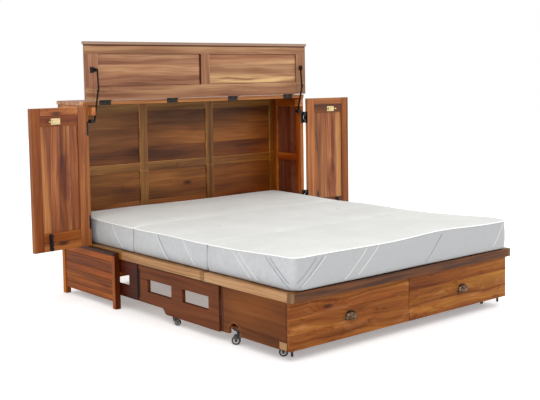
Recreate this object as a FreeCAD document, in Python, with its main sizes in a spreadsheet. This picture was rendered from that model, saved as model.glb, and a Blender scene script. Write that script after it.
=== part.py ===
import FreeCAD, Part
import math
import os
import re
import Sketcher
from FreeCAD import Placement, Rotation, Vector

# Cabinet bed: a low base cabinet on four legs, a shallow upper cabinet with a
# lifting lid and two side wings, a three-leaf deck with a tri-fold mattress,
# and a two-drawer unit on castors that is held to the base by two bi-fold gates.
# The model is drawn with X across, Y back (0 = back plane, foot towards -Y) and
# Z up, and every sub-part is then placed by the same Y shift, so that the origin
# is under the centre of the open bed.

doc = FreeCAD.newDocument("cabinet_bed")
dims = doc.addObject("Spreadsheet::Sheet", "dims")
dims.Label = "dims"
row_count = 0


def cell(alias, value, note=""):
    global row_count
    row_count += 1
    dims.set("A%d" % row_count, alias)
    dims.set("B%d" % row_count, str(value))
    dims.set("C%d" % row_count, note)
    dims.setAlias("B%d" % row_count, alias)


# overall
cell("yshift", 1046.5, "moves the drawing so the origin is under the middle of the open bed")
cell("half_width", 813, "half the width over the legs and the upper sides")
cell("base_depth", 610)
cell("leg", 32, "square leg")
cell("leg_top", 300)
cell("plank_bottom", 41)
cell("plank_thick", 18)
cell("plank_outer", 809)
cell("cap_thick", 16)
cell("cap_inner", 788)
cell("cap_outer", 818)
# deck
cell("deck_bottom", 281)
cell("deck_thick", 43)
cell("deck_half", 785)
cell("deck_rail", 22)
cell("leaf_one_back", 25)
cell("leaf_one_front", 609.5)
cell("leaf_two_back", 611)
cell("leaf_two_front", 1423)
cell("leaf_three_back", 1425)
cell("leaf_three_front", 2093)
cell("deck_board", 12)
# upper cabinet
cell("upper_bottom", 316)
cell("upper_top", 1122)
cell("upper_depth", 318)
cell("side_thick", 25)
cell("back_face", 2)
cell("back_thick", 18)
cell("top_thick", 22)
cell("top_half", 820)
# lid
cell("lid_axis_y", -320)
cell("lid_axis_z", 1148)
cell("lid_depth", 337)
cell("lid_thick", 22)
cell("lid_half", 811)
cell("nosing_half", 819)
cell("nosing_proud", 4)
cell("lid_hinge_half", 37)
# wings
cell("wing_axis_x", 820)
cell("wing_axis_y", -321)
cell("wing_width", 345)
cell("wing_gap", 3)
cell("wing_face", 35, "distance from hinge axis to inner face of the wing")
cell("wing_thick", 28)
cell("wing_bottom", 330)
cell("wing_top", 1117)
cell("wing_stile", 56)
cell("wing_rest", 5)
# gates
cell("gate_x", 764)
cell("gate_thick", 20)
cell("gate_top", 274)
cell("gate_bottom", 75)
cell("gate_low", 46)
cell("gate_back_pivot", -40)
cell("gate_mid_pivot", -788)
cell("gate_front_pivot", -1536)
cell("gate_mid_offset", 13)
cell("cut_low", 138)
cell("cut_high", 206)
cell("cut_length", 231)
# drawer unit
cell("unit_back", -1550)
cell("unit_front", -2048)
cell("unit_out", 773)
cell("unit_side", 18)
cell("unit_bottom", 53)
cell("unit_top", 278)
cell("drawer_front_thick", 20)
cell("drawer_front_low", 55)
cell("drawer_front_high", 277)
cell("drawer_wall", 12)
cell("drawer_out", 743)
cell("drawer_in", 20)
cell("drawer_low", 98)
cell("drawer_high", 250)
cell("drawer_back", -1590)
cell("pull_x", 404)
cell("pull_z", 156)
cell("pull_radius", 24)
cell("pull_length", 62)
# castors
cell("wheel_radius", 22)
cell("wheel_width", 17)
cell("trail", 17)
# mattress
cell("mattress_half", 760)
cell("mattress_bottom", 325)
cell("mattress_top", 470)
cell("mattress_head", -58)
cell("mattress_joint_one", -722)
cell("mattress_joint_two", -1418)
cell("mattress_foot", -2087)
doc.recompute()

names = set(a for a in dims.PropertiesList)
WORD = re.compile(r"[a-z][a-z_]*")


def expr(text):
    """Put the sheet's name before each alias in a short formula."""
    return WORD.sub(lambda m: "dims." + m.group(0), str(text))


def num(text):
    """The value of a short formula, for sketches and for joint work."""
    return eval_formula(str(text))


def eval_formula(text):
    total = 0.0
    for sign, term in re.findall(r"([+-]?)\s*([a-z_]+|[0-9.]+)", text):
        value = float(getattr(dims, term)) if re.match(r"[a-z]", term) else float(term)
        total += -value if sign == "-" else value
    return total


def bind(obj, prop, text):
    text = str(text)
    if WORD.search(text):
        obj.setExpression(prop, expr(text))
    else:
        path = prop.split(".")
        if len(path) == 1:
            setattr(obj, prop, float(text))
        else:
            base = obj.Placement.Base
            setattr(base, path[-1], float(text))
            obj.Placement = Placement(base, obj.Placement.Rotation)


made = [0]


def unique(stem):
    made[0] += 1
    return "%s_%03d" % (stem, made[0])


def box(x0, x1, y0, y1, z0, z1):
    """A block between two corners, each given as a number or a formula."""
    b = doc.addObject("Part::Box", unique("block"))
    bind(b, "Placement.Base.x", x0)
    bind(b, "Placement.Base.y", y0)
    bind(b, "Placement.Base.z", z0)
    for prop, lo, hi in (("Length", x0, x1), ("Width", y0, y1), ("Height", z0, z1)):
        if WORD.search(str(lo) + str(hi)):
            b.setExpression(prop, expr("(%s)-(%s)" % (hi, lo)))
        else:
            setattr(b, prop, float(hi) - float(lo))
    return b


def sbox(s, xa, xb, y0, y1, z0, z1):
    """A block on the right (s = 1) or its mirror image on the left (s = -1)."""
    if s > 0:
        return box(xa, xb, y0, y1, z0, z1)
    return box("-(%s)" % xb if WORD.search(str(xb)) else -float(xb),
               "-(%s)" % xa if WORD.search(str(xa)) else -float(xa), y0, y1, z0, z1)


AXES = {"x": Rotation(Vector(0, 1, 0), 90), "y": Rotation(Vector(1, 0, 0), -90), "z": Rotation()}


def rod(axis, x, y, z, radius, length):
    """A cylinder along +axis from the given start point."""
    c = doc.addObject("Part::Cylinder", unique("rod"))
    c.Placement = Placement(Vector(0, 0, 0), AXES[axis])
    bind(c, "Placement.Base.x", x)
    bind(c, "Placement.Base.y", y)
    bind(c, "Placement.Base.z", z)
    bind(c, "Radius", radius)
    bind(c, "Height", length)
    return c


def fuse(*items):
    if len(items) == 1:
        return items[0]
    f = doc.addObject("Part::MultiFuse", unique("joined"))
    f.Shapes = list(items)
    f.Refine = True
    return f


def cut(base, *tools):
    c = doc.addObject("Part::Cut", unique("cut"))
    c.Base = base
    c.Tool = fuse(*tools)
    c.Refine = True
    return c


parts = []


def node(name, *items, base=("0", "yshift", "0"), turn=None):
    """A named sub-part made of one or more separate solids, with its placement."""
    g = doc.addObject("Part::Compound", name)
    g.Label = name
    g.Links = list(items)
    if turn is not None:
        g.Placement = Placement(Vector(0, 0, 0), turn)
    for axis, text in zip("xyz", base):
        bind(g, "Placement.Base." + axis, text)
    parts.append(g)
    return g


def neg(text):
    return "-(%s)" % text if WORD.search(str(text)) else -float(text)


SIDES = ((-1, "left"), (1, "right"))

# ---------------------------------------------------------------- base cabinet
legs = []
for s, side in SIDES:
    legs.append(sbox(s, "half_width-leg", "half_width", "-leg", 0, 0, "leg_top"))
    legs.append(sbox(s, "half_width-leg", "half_width", "-base_depth", "leg-base_depth", 0, "leg_top"))
node("base_legs", *legs)

panels = []
for s, side in SIDES:
    board = sbox(s, "plank_outer-plank_thick", "plank_outer", "leg-base_depth", "-leg", "plank_bottom", "leg_top")
    grooves = [sbox(s, "plank_outer-3", "plank_outer+1", "leg-base_depth-1", "1-leg", z - 1.5, z + 1.5)
               for z in (79, 117, 158, 200, 262)]
    panels.append(cut(board, *grooves))
panels.append(box("leg-half_width", "half_width-leg", -22, -4, "plank_bottom", "leg_top"))
node("base_panels", *panels)

rails = []
for s, side in SIDES:
    rails.append(sbox(s, "cap_inner", "cap_outer", "-base_depth", 0, "leg_top", "leg_top+cap_thick"))
    # ledger that carries the long edge of the fixed deck leaf
    rails.append(sbox(s, "half_width-leg", "plank_outer-plank_thick", "leg-base_depth", "-leg", 252, "deck_bottom"))
rails.append(box(neg("cap_inner"), "cap_inner", -24, 0, "leg_top", "leg_top+cap_thick"))
node("base_rails", *rails)

# ------------------------------------------------------------------------ deck


def housed(solid, *joints):
    """Cuts the shallow housings for the hinges under the joints of the deck leaves."""
    tools = []
    for y in joints:
        for s_, side_ in SIDES:
            tools.append(sbox(s_, 689.5, 740.5, y - 18.5, y + 18.5, 280, 283.1))
            tools.append(sbox(s_, 689.5, 740.5, y - 3, y + 3, 282, 284))
    return cut(solid, *tools)


ZB, ZT = "deck_bottom", "deck_bottom+deck_thick"
# head leaf: its long rails sit between the legs, on the ledgers
head = [sbox(s, 765, 787, "leg-base_depth+1", "-leg-2", ZB, ZT) for s, side in SIDES]
head.append(box(-776, 776, "-leaf_one_back-35", "-leaf_one_back", ZB, ZT))
head.append(box(-776, 776, "-leaf_one_front", "-leaf_one_front+35", ZB, ZT))
head.append(box(-765, 765, "-leaf_one_front+35", "-leaf_one_back-35", "deck_bottom+deck_thick-deck_board", ZT))
head.append(box(-765, 765, -330, -290, ZB, "deck_bottom+deck_thick-deck_board"))
node("deck_head_leaf", housed(fuse(*head[:4]), -610), *head[4:])
for name, back, front, joints in (("deck_middle_leaf", "leaf_two_back", "leaf_two_front", (-610, -1424)),
                                  ("deck_foot_leaf", "leaf_three_back", "leaf_three_front", (-1424,))):
    mid = (num(back) + num(front)) / 2
    frame = [sbox(s, "deck_half-deck_rail", "deck_half", "-" + front, "-" + back, ZB, ZT) for s, side in SIDES]
    frame.append(box("deck_rail-deck_half", "deck_half-deck_rail", "-%s" % back + "-deck_rail", "-" + back, ZB, ZT))
    frame.append(box("deck_rail-deck_half", "deck_half-deck_rail", "-" + front, "-%s+deck_rail" % front, ZB, ZT))
    board = box("deck_rail-deck_half", "deck_half-deck_rail", "-%s+deck_rail" % front, "-%s-deck_rail" % back,
                "deck_bottom+deck_thick-deck_board", ZT)
    bearer = box("deck_rail-deck_half", "deck_half-deck_rail", -mid - 20, -mid + 20, ZB,
                 "deck_bottom+deck_thick-deck_board")
    node(name, housed(fuse(*frame), *joints), board, bearer)

# --------------------------------------------------------------- upper cabinet
frames, infill = [], []
for s, side in SIDES:
    a, b = "half_width-side_thick", "half_width"
    back, front = "-back_face-back_thick", "-upper_depth"
    pieces = [sbox(s, a, b, "-upper_depth", "46-upper_depth", "upper_bottom", "upper_top"),
              sbox(s, a, b, "-46-back_thick-back_face", back, "upper_bottom", "upper_top")]
    for z0, z1 in (("upper_bottom", "upper_bottom+60"), (690, 742), ("upper_top-60", "upper_top")):
        pieces.append(sbox(s, a, b, "46-upper_depth", "-46-back_thick-back_face", z0, z1))
    frames.append(fuse(*pieces))
    for z0, z1 in (("upper_bottom+60", 690), (742, "upper_top-60")):
        infill.append(sbox(s, "half_width-17", "half_width-9", "46-upper_depth", "-46-back_thick-back_face", z0, z1))
node("upper_side_frames", *frames)
node("upper_side_panels", *infill)

yf, yb = "-back_face-back_thick", "-back_face"
stiles = [(-813, -755), (-280, -222), (222, 280), (755, 813)]
pieces = [box(x0, x1, yf, yb, "upper_bottom", "upper_top") for x0, x1 in stiles]
for (xa, xb) in ((-755, -280), (-222, 222), (280, 755)):
    for z0, z1 in (("upper_bottom", "upper_bottom+60"), (687, 741), ("upper_top-60", "upper_top")):
        pieces.append(box(xa, xb, yf, yb, z0, z1))
node("back_frame", fuse(*pieces))
pieces = []
for (xa, xb) in ((-755, -280), (-222, 222), (280, 755)):
    for z0, z1 in (("upper_bottom+60", 687), (741, "upper_top-60")):
        pieces.append(box(xa, xb, "-back_face-10", "-back_face-3", z0, z1))
node("back_panels", *pieces)

node("fixed_top", box(neg("top_half"), "top_half", "-upper_depth", 0, "upper_top", "upper_top+top_thick"))

# wood blocks inside the front edges, where the closed wings come to rest
pieces = []
for s, side in SIDES:
    pieces.append(fuse(sbox(s, 757, 783, -352, -296, 1066, 1112),
                       sbox(s, 783, "half_width-side_thick", "-upper_depth", -296, 1066, 1112)))
node("stop_blocks", *pieces)

# ------------------------------------------------------------- lid, open, at rest
# local frame: hinge axis along X at y = 0, z = 0
y_in, y_out = -26, -4
frame = [box(neg("lid_half"), "lid_half", y_in, y_out, 2, 80),
         box(neg("lid_half"), "lid_half", y_in, y_out, 266, "lid_depth-18"),
         box(neg("lid_half"), "80-lid_half", y_in, y_out, 80, 266),
         box("lid_half-80", "lid_half", y_in, y_out, 80, 266),
         box(-33, 33, y_in, y_out, 80, 266),
         box(neg("nosing_half"), "nosing_half", "-26-nosing_proud", y_out, "lid_depth-18", "lid_depth-2")]
LID = ("0", "lid_axis_y+yshift", "lid_axis_z")
node("lid_frame", fuse(*frame), base=LID)
node("lid_panels", box("80-lid_half", -33, -18, -8, 80, 266), box(33, "lid_half-80", -18, -8, 80, 266), base=LID)

hinge_x = (-678, -226, 226, 678)
pieces = []
for x in hinge_x:
    pieces.append(fuse(box(x - 37, x + 37, -26, -4.2, 0.3, 2), box(x - 12, x + 12, -4.2, -1, 0.3, 2),
                       rod("x", x - 12, 0, 0, 3.6, 24)))
for s, side in SIDES:
    # bracket on the underside of the lid with the pivot pin of the upper stay arm
    pieces.append(fuse(sbox(s, 760, 783, -29, -26, 158, 192), sbox(s, 757, 760, -58, -26, 165, 185),
                       rod("x", "%s" % (s * 747 if s < 0 else 747), -50, 175, 3, 11) if s > 0
                       else rod("x", -758, -50, 175, 3, 11)))
node("lid_hardware", *pieces, base=LID)

# ---------------------------------------------------------------- lid stays
# Parallelogram: lid axis, lid pin, elbow, side pin. The elbow pivot is open.


def bar(s, xa, xb, p, q, half, hole):
    """A flat stay arm between two points of the YZ plane, with a hole at each end."""
    (y0, z0), (y1, z1) = p, q
    length = math.hypot(y1 - y0, z1 - z0)
    turn = Rotation(Vector(1, 0, 0), math.degrees(math.atan2(z1 - z0, y1 - y0)))
    x0 = xa if s > 0 else -xb
    flat = doc.addObject("Part::Box", unique("bar"))
    flat.Length, flat.Width, flat.Height = xb - xa, length, 2 * half
    flat.Placement = Placement(turn.multVec(Vector(0, 0, -half)) + Vector(x0, y0, z0), turn)
    ends = [rod("x", x0, y0, z0, half, xb - xa), rod("x", x0, y1, z1, half, xb - xa)]
    holes = [rod("x", x0 - 1, y0, z0, hole, xb - xa + 2), rod("x", x0 - 1, y1, z1, hole, xb - xa + 2)]
    return cut(fuse(flat, *ends), *holes)


PU, PL = (-370, 1323), (-330, 1032)
PE = (PL[0] + PU[0] + 320, PL[1] + PU[1] - 1148)
for s, side in SIDES:
    node("stay_upper_" + side, bar(s, 749, 752, PU, PE, 7, 3.4))
for s, side in SIDES:
    # the elbow pin turns in the upper arm with clearance
    arm = bar(s, 753, 756, PL, PE, 7, 3.4)
    pin = rod("x", 747 if s > 0 else -757, PE[0], PE[1], 2.6, 10)
    head_ = rod("x", 756 if s > 0 else -758.5, PE[0], PE[1], 6, 2.5)
    node("stay_lower_" + side, fuse(arm, rod("x", 753 if s > 0 else -756, PE[0], PE[1], 5, 3), pin, head_))

# ------------------------------------------------------- fixed black hardware
pieces = []
for x in hinge_x:
    # fixed leaves of the lid hinges on the front edge of the top
    pieces.append(fuse(box(x - 37, x + 37, -320, -318, "upper_top", 1144),
                       box(x - 37, x - 12.4, -320, -318, 1144, 1147), box(x + 12.4, x + 37, -320, -318, 1144, 1147),
                       rod("x", x - 37, -320, 1148, 3.6, 24.6), rod("x", x + 12.4, -320, 1148, 3.6, 24.6)))
for s, side in SIDES:
    for z in (457, 990):
        # fixed leaves of the wing hinges on the front edge of the upper side
        tabs = [sbox(s, 812, 820, -321, -319, z - 38, z - 13), sbox(s, 812, 820, -321, -319, z + 13, z + 38)]
        pins = [rod("z", s * 820, -321, z - 38, 4.5, 25), rod("z", s * 820, -321, z + 13, 4.5, 25)]
        pieces.append(fuse(sbox(s, 790, 813, -320, -318, z - 38, z + 38), *tabs, *pins))
    # bracket and pin of the lower stay arm
    pieces.append(fuse(sbox(s, 758, 783, -338, -300, 1022, 1042), sbox(s, 783, 788, -318, -300, 1022, 1042),
                       rod("x", 752 if s > 0 else -759, -330, 1032, 3, 7)))
    # fixed knuckles of the rear gate hinges, on the inner face of the rear leg
    for z in (92, 222):
        pieces.append(fuse(rod("z", s * 764, "gate_back_pivot", z, 5, 28),
                           sbox(s, 766, 781, -44, -36, z, z + 28), sbox(s, 776, 781, -36, -23, z, z + 28)))
    # hinges let into the undersides of the deck leaves at their joints
    for y in (-610, -1424):
        pieces.append(fuse(sbox(s, 690, 740, y - 18, y - 1, 281.1, 283), sbox(s, 690, 740, y + 1, y + 18, 281.1, 283),
                           rod("x", 690 if s > 0 else -740, y, 281.3, 2, 50),
                           sbox(s, 690, 740, y - 2, y + 2, 281.1, 282.9)))
    # small black hinge under the outer edge of the second joint
    pieces.append(fuse(sbox(s, 779, 784.5, -1458, -1425, 277, 281), sbox(s, 779, 784.5, -1423, -1412, 277, 281),
                       rod("x", 779 if s > 0 else -784.5, -1424, 277.8, 3.1, 5.5)))
node("cabinet_hardware", *pieces)

# ------------------------------------------------------------------- wings
# Each wing is drawn at a right angle to the cabinet in the frame of its hinge axis,
# then turned 5 degrees towards closed.
for s, side in SIDES:
    turn = Rotation(Vector(0, 0, 1), -5.0 * s)
    where = ("wing_axis_x" if s > 0 else neg("wing_axis_x"), "wing_axis_y+yshift", "0")
    vi, vo = "-wing_face", "wing_thick-wing_face"
    ua, ub = "wing_gap", "wing_gap+wing_width"
    ia, ib = "wing_gap+wing_stile", "wing_gap+wing_width-wing_stile"
    frame = [sbox(s, ua, ia, vi, vo, "wing_bottom", "wing_top"), sbox(s, ib, ub, vi, vo, "wing_bottom", "wing_top"),
             sbox(s, ia, ib, vi, vo, "wing_bottom", "wing_bottom+46"), sbox(s, ia, ib, vi, vo, "wing_top-43", "wing_top"),
             sbox(s, ia, ib, "4-wing_face", vo, "wing_bottom+46", "wing_bottom+100"),
             sbox(s, ia, ib, "4-wing_face", vo, "wing_top-99", "wing_top-43")]
    node("wing_frame_" + side, fuse(*frame), base=where, turn=turn)
    boards = []
    edges = [59, 110, 181, 236, 292]
    for k in range(4):
        boards.append(sbox(s, edges[k], edges[k + 1], "8-wing_face", "20-wing_face",
                           "wing_bottom+100", "wing_top-99"))
    node("wing_panel_" + side, *boards, base=where, turn=turn)
    hard = []
    for z in (457, 990):
        hard.append(fuse(sbox(s, 1, 3, -33, -7, z - 38, z + 38), sbox(s, 1, 3, -7, -2, z - 12.6, z + 12.6),
                         rod("z", 0, 0, z - 12.6, 4.5, 25.2)))
    # barrel bolt: two guides and the plate on the recessed bottom rail
    gx = 248
    low = sbox(s, gx - 11, gx + 11, "-wing_face-2", -35, 334, 374)
    guides = []
    for z0, z1, y1 in ((338, 350, -36), (360, 372, -36), (408, 420, -36)):
        guides.append(cut(sbox(s, gx - 8, gx + 8, -49, y1, z0, z1), rod("z", s * gx, -43, z0 - 1, 4.4, z1 - z0 + 2)))
    hard.append(fuse(low, sbox(s, gx - 11, gx + 11, -37, -35, 374, 426), guides[0], guides[1], guides[2]))
    node("wing_hardware_" + side, *hard, base=where, turn=turn)
    # brass latch plate on the recessed top rail, with the slide rod beside it
    px = 197
    guide = cut(sbox(s, px - 22, px + 22, -45, -33, 1036, 1050), sbox(s, px - 23, px + 23, -42, -37.5, 1038.5, 1047.5))
    node("latch_plate_" + side, fuse(sbox(s, px - 29, px + 29, -33, -31, 1026, 1060), guide), base=where, turn=turn)
    node("latch_bolt_" + side, fuse(sbox(s, px - 18, px + 44, -41.5, -38, 1039, 1047),
                                    sbox(s, px + 26, px + 38, -50, -38, 1039, 1047)), base=where, turn=turn)
    node("barrel_bolt_" + side, fuse(rod("z", s * gx, -43, 331, 4, 94), sbox(s, gx - 3, gx + 3, -55, -43, 384, 391)),
         base=where, turn=turn)

# ------------------------------------------------------------------- gates


def plane(body, role):
    return [o for o in body.Origin.OriginFeatures if o.Role == role][0]


def line(sk, a, b):
    return sk.addGeometry(Part.LineSegment(Vector(a[0], a[1], 0), Vector(b[0], b[1], 0)), False)


def pinned(sk, index, point, x_text, y_text):
    """Hold one end of a line at two sheet formulas, measured from the sketch origin."""
    for kind, text in (("DistanceX", x_text), ("DistanceY", y_text)):
        value = num(text)
        c = sk.addConstraint(Sketcher.Constraint(kind, -1, 1, index, point, value))
        sk.setExpression("Constraints[%d]" % c, expr(text))


def window(sk, y_text, z0, z1, length):
    """A rectangular cut-out whose far corner and size follow the sheet."""
    y0, za, zb_, ln = num(y_text), num(z0), num(z1), num(length)
    p = [(y0, za), (y0 + ln, za), (y0 + ln, zb_), (y0, zb_)]
    n = [line(sk, p[i], p[(i + 1) % 4]) for i in range(4)]
    for i in range(4):
        sk.addConstraint(Sketcher.Constraint("Coincident", n[i], 2, n[(i + 1) % 4], 1))
    sk.addConstraint(Sketcher.Constraint("Horizontal", n[0]))
    sk.addConstraint(Sketcher.Constraint("Vertical", n[1]))
    sk.addConstraint(Sketcher.Constraint("Horizontal", n[2]))
    sk.addConstraint(Sketcher.Constraint("Vertical", n[3]))
    pinned(sk, n[0], 1, y_text, z0)
    pinned(sk, n[2], 1, "%s+%s" % (y_text, length), z1)


def gate_body(name, outline, windows, x_text):
    """A flat board padded to both sides of its centre plane, with its windows cut through."""
    body = doc.addObject("PartDesign::Body", name)
    sk = body.newObject("Sketcher::SketchObject", name + "_outline")
    sk.AttachmentSupport = [(plane(body, "YZ_Plane"), "")]
    sk.MapMode = "FlatFace"
    outline(sk)
    pad = body.newObject("PartDesign::Pad", name + "_pad")
    pad.Profile = sk
    pad.Midplane = True
    pad.setExpression("Length", "dims.gate_thick")
    doc.recompute()
    ws = body.newObject("Sketcher::SketchObject", name + "_windows")
    ws.AttachmentSupport = [(plane(body, "YZ_Plane"), "")]
    ws.MapMode = "FlatFace"
    for y_text in windows:
        window(ws, y_text, "cut_low", "cut_high", "cut_length")
    pocket = body.newObject("PartDesign::Pocket", name + "_cut")
    pocket.Profile = ws
    pocket.Type = "ThroughAll"
    pocket.Midplane = True
    doc.recompute()
    bind(body, "Placement.Base.x", x_text)
    return body


def outline_rear(sk):
    y0, y1 = "gate_mid_pivot+6", "gate_back_pivot-10"
    a, b, c, d = num(y0), num(y1), num("gate_bottom"), num("gate_top")
    p = [(a, c), (b, c), (b, d), (a, d)]
    n = [line(sk, p[i], p[(i + 1) % 4]) for i in range(4)]
    for i in range(4):
        sk.addConstraint(Sketcher.Constraint("Coincident", n[i], 2, n[(i + 1) % 4], 1))
    sk.addConstraint(Sketcher.Constraint("Horizontal", n[0]))
    sk.addConstraint(Sketcher.Constraint("Vertical", n[1]))
    sk.addConstraint(Sketcher.Constraint("Horizontal", n[2]))
    sk.addConstraint(Sketcher.Constraint("Vertical", n[3]))
    pinned(sk, n[0], 1, y0, "gate_bottom")
    pinned(sk, n[2], 1, y1, "gate_top")


def outline_front(sk):
    # the lower edge drops from 75 to 46 by two tangent arcs
    y_back, y_front = num("gate_mid_pivot-6"), num("gate_front_pivot+7")
    top, low, deep = num("gate_top"), num("gate_bottom"), num("gate_low")
    ya, yc = -1018.0, -1066.0
    ym, zm = (ya + yc) / 2, (low + deep) / 2
    half_run, half_drop = (ya - yc) / 2, (low - deep) / 2
    theta = 2 * math.atan2(half_drop, half_run)
    r = half_run / math.sin(theta)
    line(sk, (y_back, low), (y_back, top))
    line(sk, (y_back, top), (y_front, top))
    line(sk, (y_front, top), (y_front, deep))
    line(sk, (y_front, deep), (yc, deep))
    c1, c2 = Vector(yc, deep + r, 0), Vector(ya, low - r, 0)

    def arc(c, a0, a1):
        mid = (a0 + a1) / 2
        pts = [Vector(c.x + r * math.cos(t), c.y + r * math.sin(t), 0) for t in (a0, mid, a1)]
        sk.addGeometry(Part.Arc(*pts), False)

    arc(c1, -math.pi / 2, -math.pi / 2 + theta)
    arc(c2, math.pi / 2 + theta, math.pi / 2)
    line(sk, (ya, low), (y_back, low))


for s, side in SIDES:
    gx = "gate_x" if s > 0 else neg("gate_x")
    rear = gate_body("rear_board_" + side, outline_rear, ("gate_mid_pivot+93", "gate_mid_pivot+424"), gx)
    # moving knuckle of the rear hinge, and the outer leaf of the middle hinge
    kn = fuse(rod("z", s * 764, "gate_back_pivot", 120.4, 5, 101.2), sbox(s, 761.5, 766.5, -50, -42, 120.4, 221.6))
    mk = [rod("z", s * 777, "gate_mid_pivot", z, 5, 33) for z in (110, 190)]
    ml = sbox(s, 774, 776, "gate_mid_pivot+6", "gate_mid_pivot+17", 95, 254)
    mt = [sbox(s, 775, 778, "gate_mid_pivot+2", "gate_mid_pivot+8", z, z + 33) for z in (110, 190)]
    node("gate_rear_" + side, rear, kn, fuse(ml, *mk, *mt))
    front = gate_body("front_board_" + side, outline_front, ("gate_mid_pivot-324", "gate_mid_pivot-655"), gx)
    mk = [rod("z", s * 777, "gate_mid_pivot", z, 5, h) for z, h in ((95, 14.6), (143.4, 46.2), (223.4, 30.6))]
    ml = sbox(s, 774, 776, "gate_mid_pivot-17", "gate_mid_pivot-6", 95, 254)
    mt = [sbox(s, 775, 778, "gate_mid_pivot-8", "gate_mid_pivot-2", z, z + h)
          for z, h in ((95, 14.6), (143.4, 46.2), (223.4, 30.6))]
    ek = [rod("z", s * 764, "gate_front_pivot", z, 5, 24) for z in (100, 204)]
    et = [sbox(s, 761.5, 766.5, "gate_front_pivot+2", "gate_front_pivot+7.5", z, z + 24) for z in (100, 204)]
    node("gate_front_" + side, front, fuse(ml, *mk, *mt), fuse(ek[0], et[0]), fuse(ek[1], et[1]))

# ------------------------------------------------------------- drawer unit
pieces = []
for s, side in SIDES:
    board = sbox(s, "unit_out-unit_side", "unit_out", "unit_front", "unit_back", "unit_bottom", "unit_top")
    x0 = "unit_out-unit_side-1" if s > 0 else "-unit_out-1"
    notch = rod("x", x0, -1652, 62, 47, "unit_side+2")
    pieces.append(cut(board, notch))
inner = "unit_out-unit_side"
pieces.append(box(neg(inner), inner, "unit_front", "unit_back", 80, 92))
pieces.append(box(neg(inner), inner, "unit_back-12", "unit_back", 92, "unit_top"))
pieces.append(box(-8, 8, "unit_front", "unit_back-12", 92, "unit_top"))
for s, side in SIDES:
    pieces.append(sbox(s, 8, inner, "unit_front", "unit_front+40", "unit_top-16", "unit_top"))
    pieces.append(sbox(s, 8, inner, "unit_back-52", "unit_back-12", "unit_top-16", "unit_top"))
node("unit_carcass", *pieces)

pieces = []
for s, side in SIDES:
    # castor blocks under the bottom panel, and the small corner block on the side
    pieces.append(sbox(s, 694, 754, -1688, -1608, 70, 80))
    pieces.append(sbox(s, 682, 742, -2000, -1920, 70, 80))
    pieces.append(sbox(s, "unit_out", "unit_out+3", -2047, -1996, 58, 92))
node("unit_blocks", *pieces)

pieces = []
for s, side in SIDES:
    for x, y in ((742, -1650), (702, -1960)):
        pieces.append(fuse(sbox(s, x - 22, min(x + 22, 757), y - 26, y + 26, 67.5, 70), rod("z", s * x, y, 61, 13, 7)))
    pieces.append(rod("z", s * 739, -2040, 24, 6, 56))
    # runners that carry the drawer boxes
    pieces.append(sbox(s, 743.6, inner, -2040, -1600, 160, 190))
    pieces.append(sbox(s, 8, 19.4, -2040, -1600, 160, 190))
    # knuckle of the front gate hinge
    pieces.append(fuse(rod("z", s * 764, "gate_front_pivot", 124.6, 5, 78.8),
                       sbox(s, 761.5, 766.5, "unit_back", "gate_front_pivot-2", 124.6, 203.4)))
node("unit_hardware", *pieces)

for s, side in SIDES:
    face = sbox(s, 1.5, 774, "unit_front-1-drawer_front_thick", "unit_front-1", "drawer_front_low", "drawer_front_high")
    a, b, w = "drawer_in", "drawer_out", "drawer_wall"
    yb_, yf_ = "drawer_back", "unit_front-1"
    walls = [sbox(s, a, b, yf_, yb_, "drawer_low", "drawer_low+8"),
             sbox(s, a, "drawer_in+drawer_wall", yf_, yb_, "drawer_low+8", "drawer_high"),
             sbox(s, "drawer_out-drawer_wall", b, yf_, yb_, "drawer_low+8", "drawer_high"),
             sbox(s, "drawer_in+drawer_wall", "drawer_out-drawer_wall", "drawer_back-drawer_wall", yb_,
                  "drawer_low+8", "drawer_high"),
             sbox(s, "drawer_in+drawer_wall", "drawer_out-drawer_wall", yf_, "unit_front-1+drawer_wall",
                  "drawer_low+8", "drawer_high")]
    node("drawer_front_" + side, face)
    node("drawer_box_" + side, fuse(*walls))
    # cup pull: a quarter drum, hollow from below, with a thin flange against the front
    y_face = "unit_front-1-drawer_front_thick"
    xs = "pull_x-31" if s > 0 else "-pull_x-31"
    xe = "pull_x+31" if s > 0 else "-pull_x+31"
    xsi = "pull_x-29" if s > 0 else "-pull_x-29"
    drum = rod("x", xs, y_face, "pull_z", "pull_radius", "pull_length")
    hollow = rod("x", xsi, y_face, "pull_z", "pull_radius-2", "pull_length-4")
    keep = doc.addObject("Part::Common", unique("quarter"))
    keep.Base = drum
    keep.Tool = box(xs, xe, "unit_front-1-drawer_front_thick-40", y_face, "pull_z", "pull_z+40")
    shell = cut(keep, hollow)
    flange = box(xs, xe, "unit_front-1-drawer_front_thick-2", y_face, "pull_z+pull_radius-1.5", "pull_z+pull_radius+6")
    ears = [box(xs, "%s+4" % xs, "unit_front-1-drawer_front_thick-2", y_face, "pull_z-14", "pull_z+6"),
            box("%s-4" % xe, xe, "unit_front-1-drawer_front_thick-2", y_face, "pull_z-14", "pull_z+6")]
    node("drawer_pull_" + side, fuse(shell, flange, *ears))

# ------------------------------------------------------------------ castors
# local frame: swivel axis along Z through the origin, trailing along +Y


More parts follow.
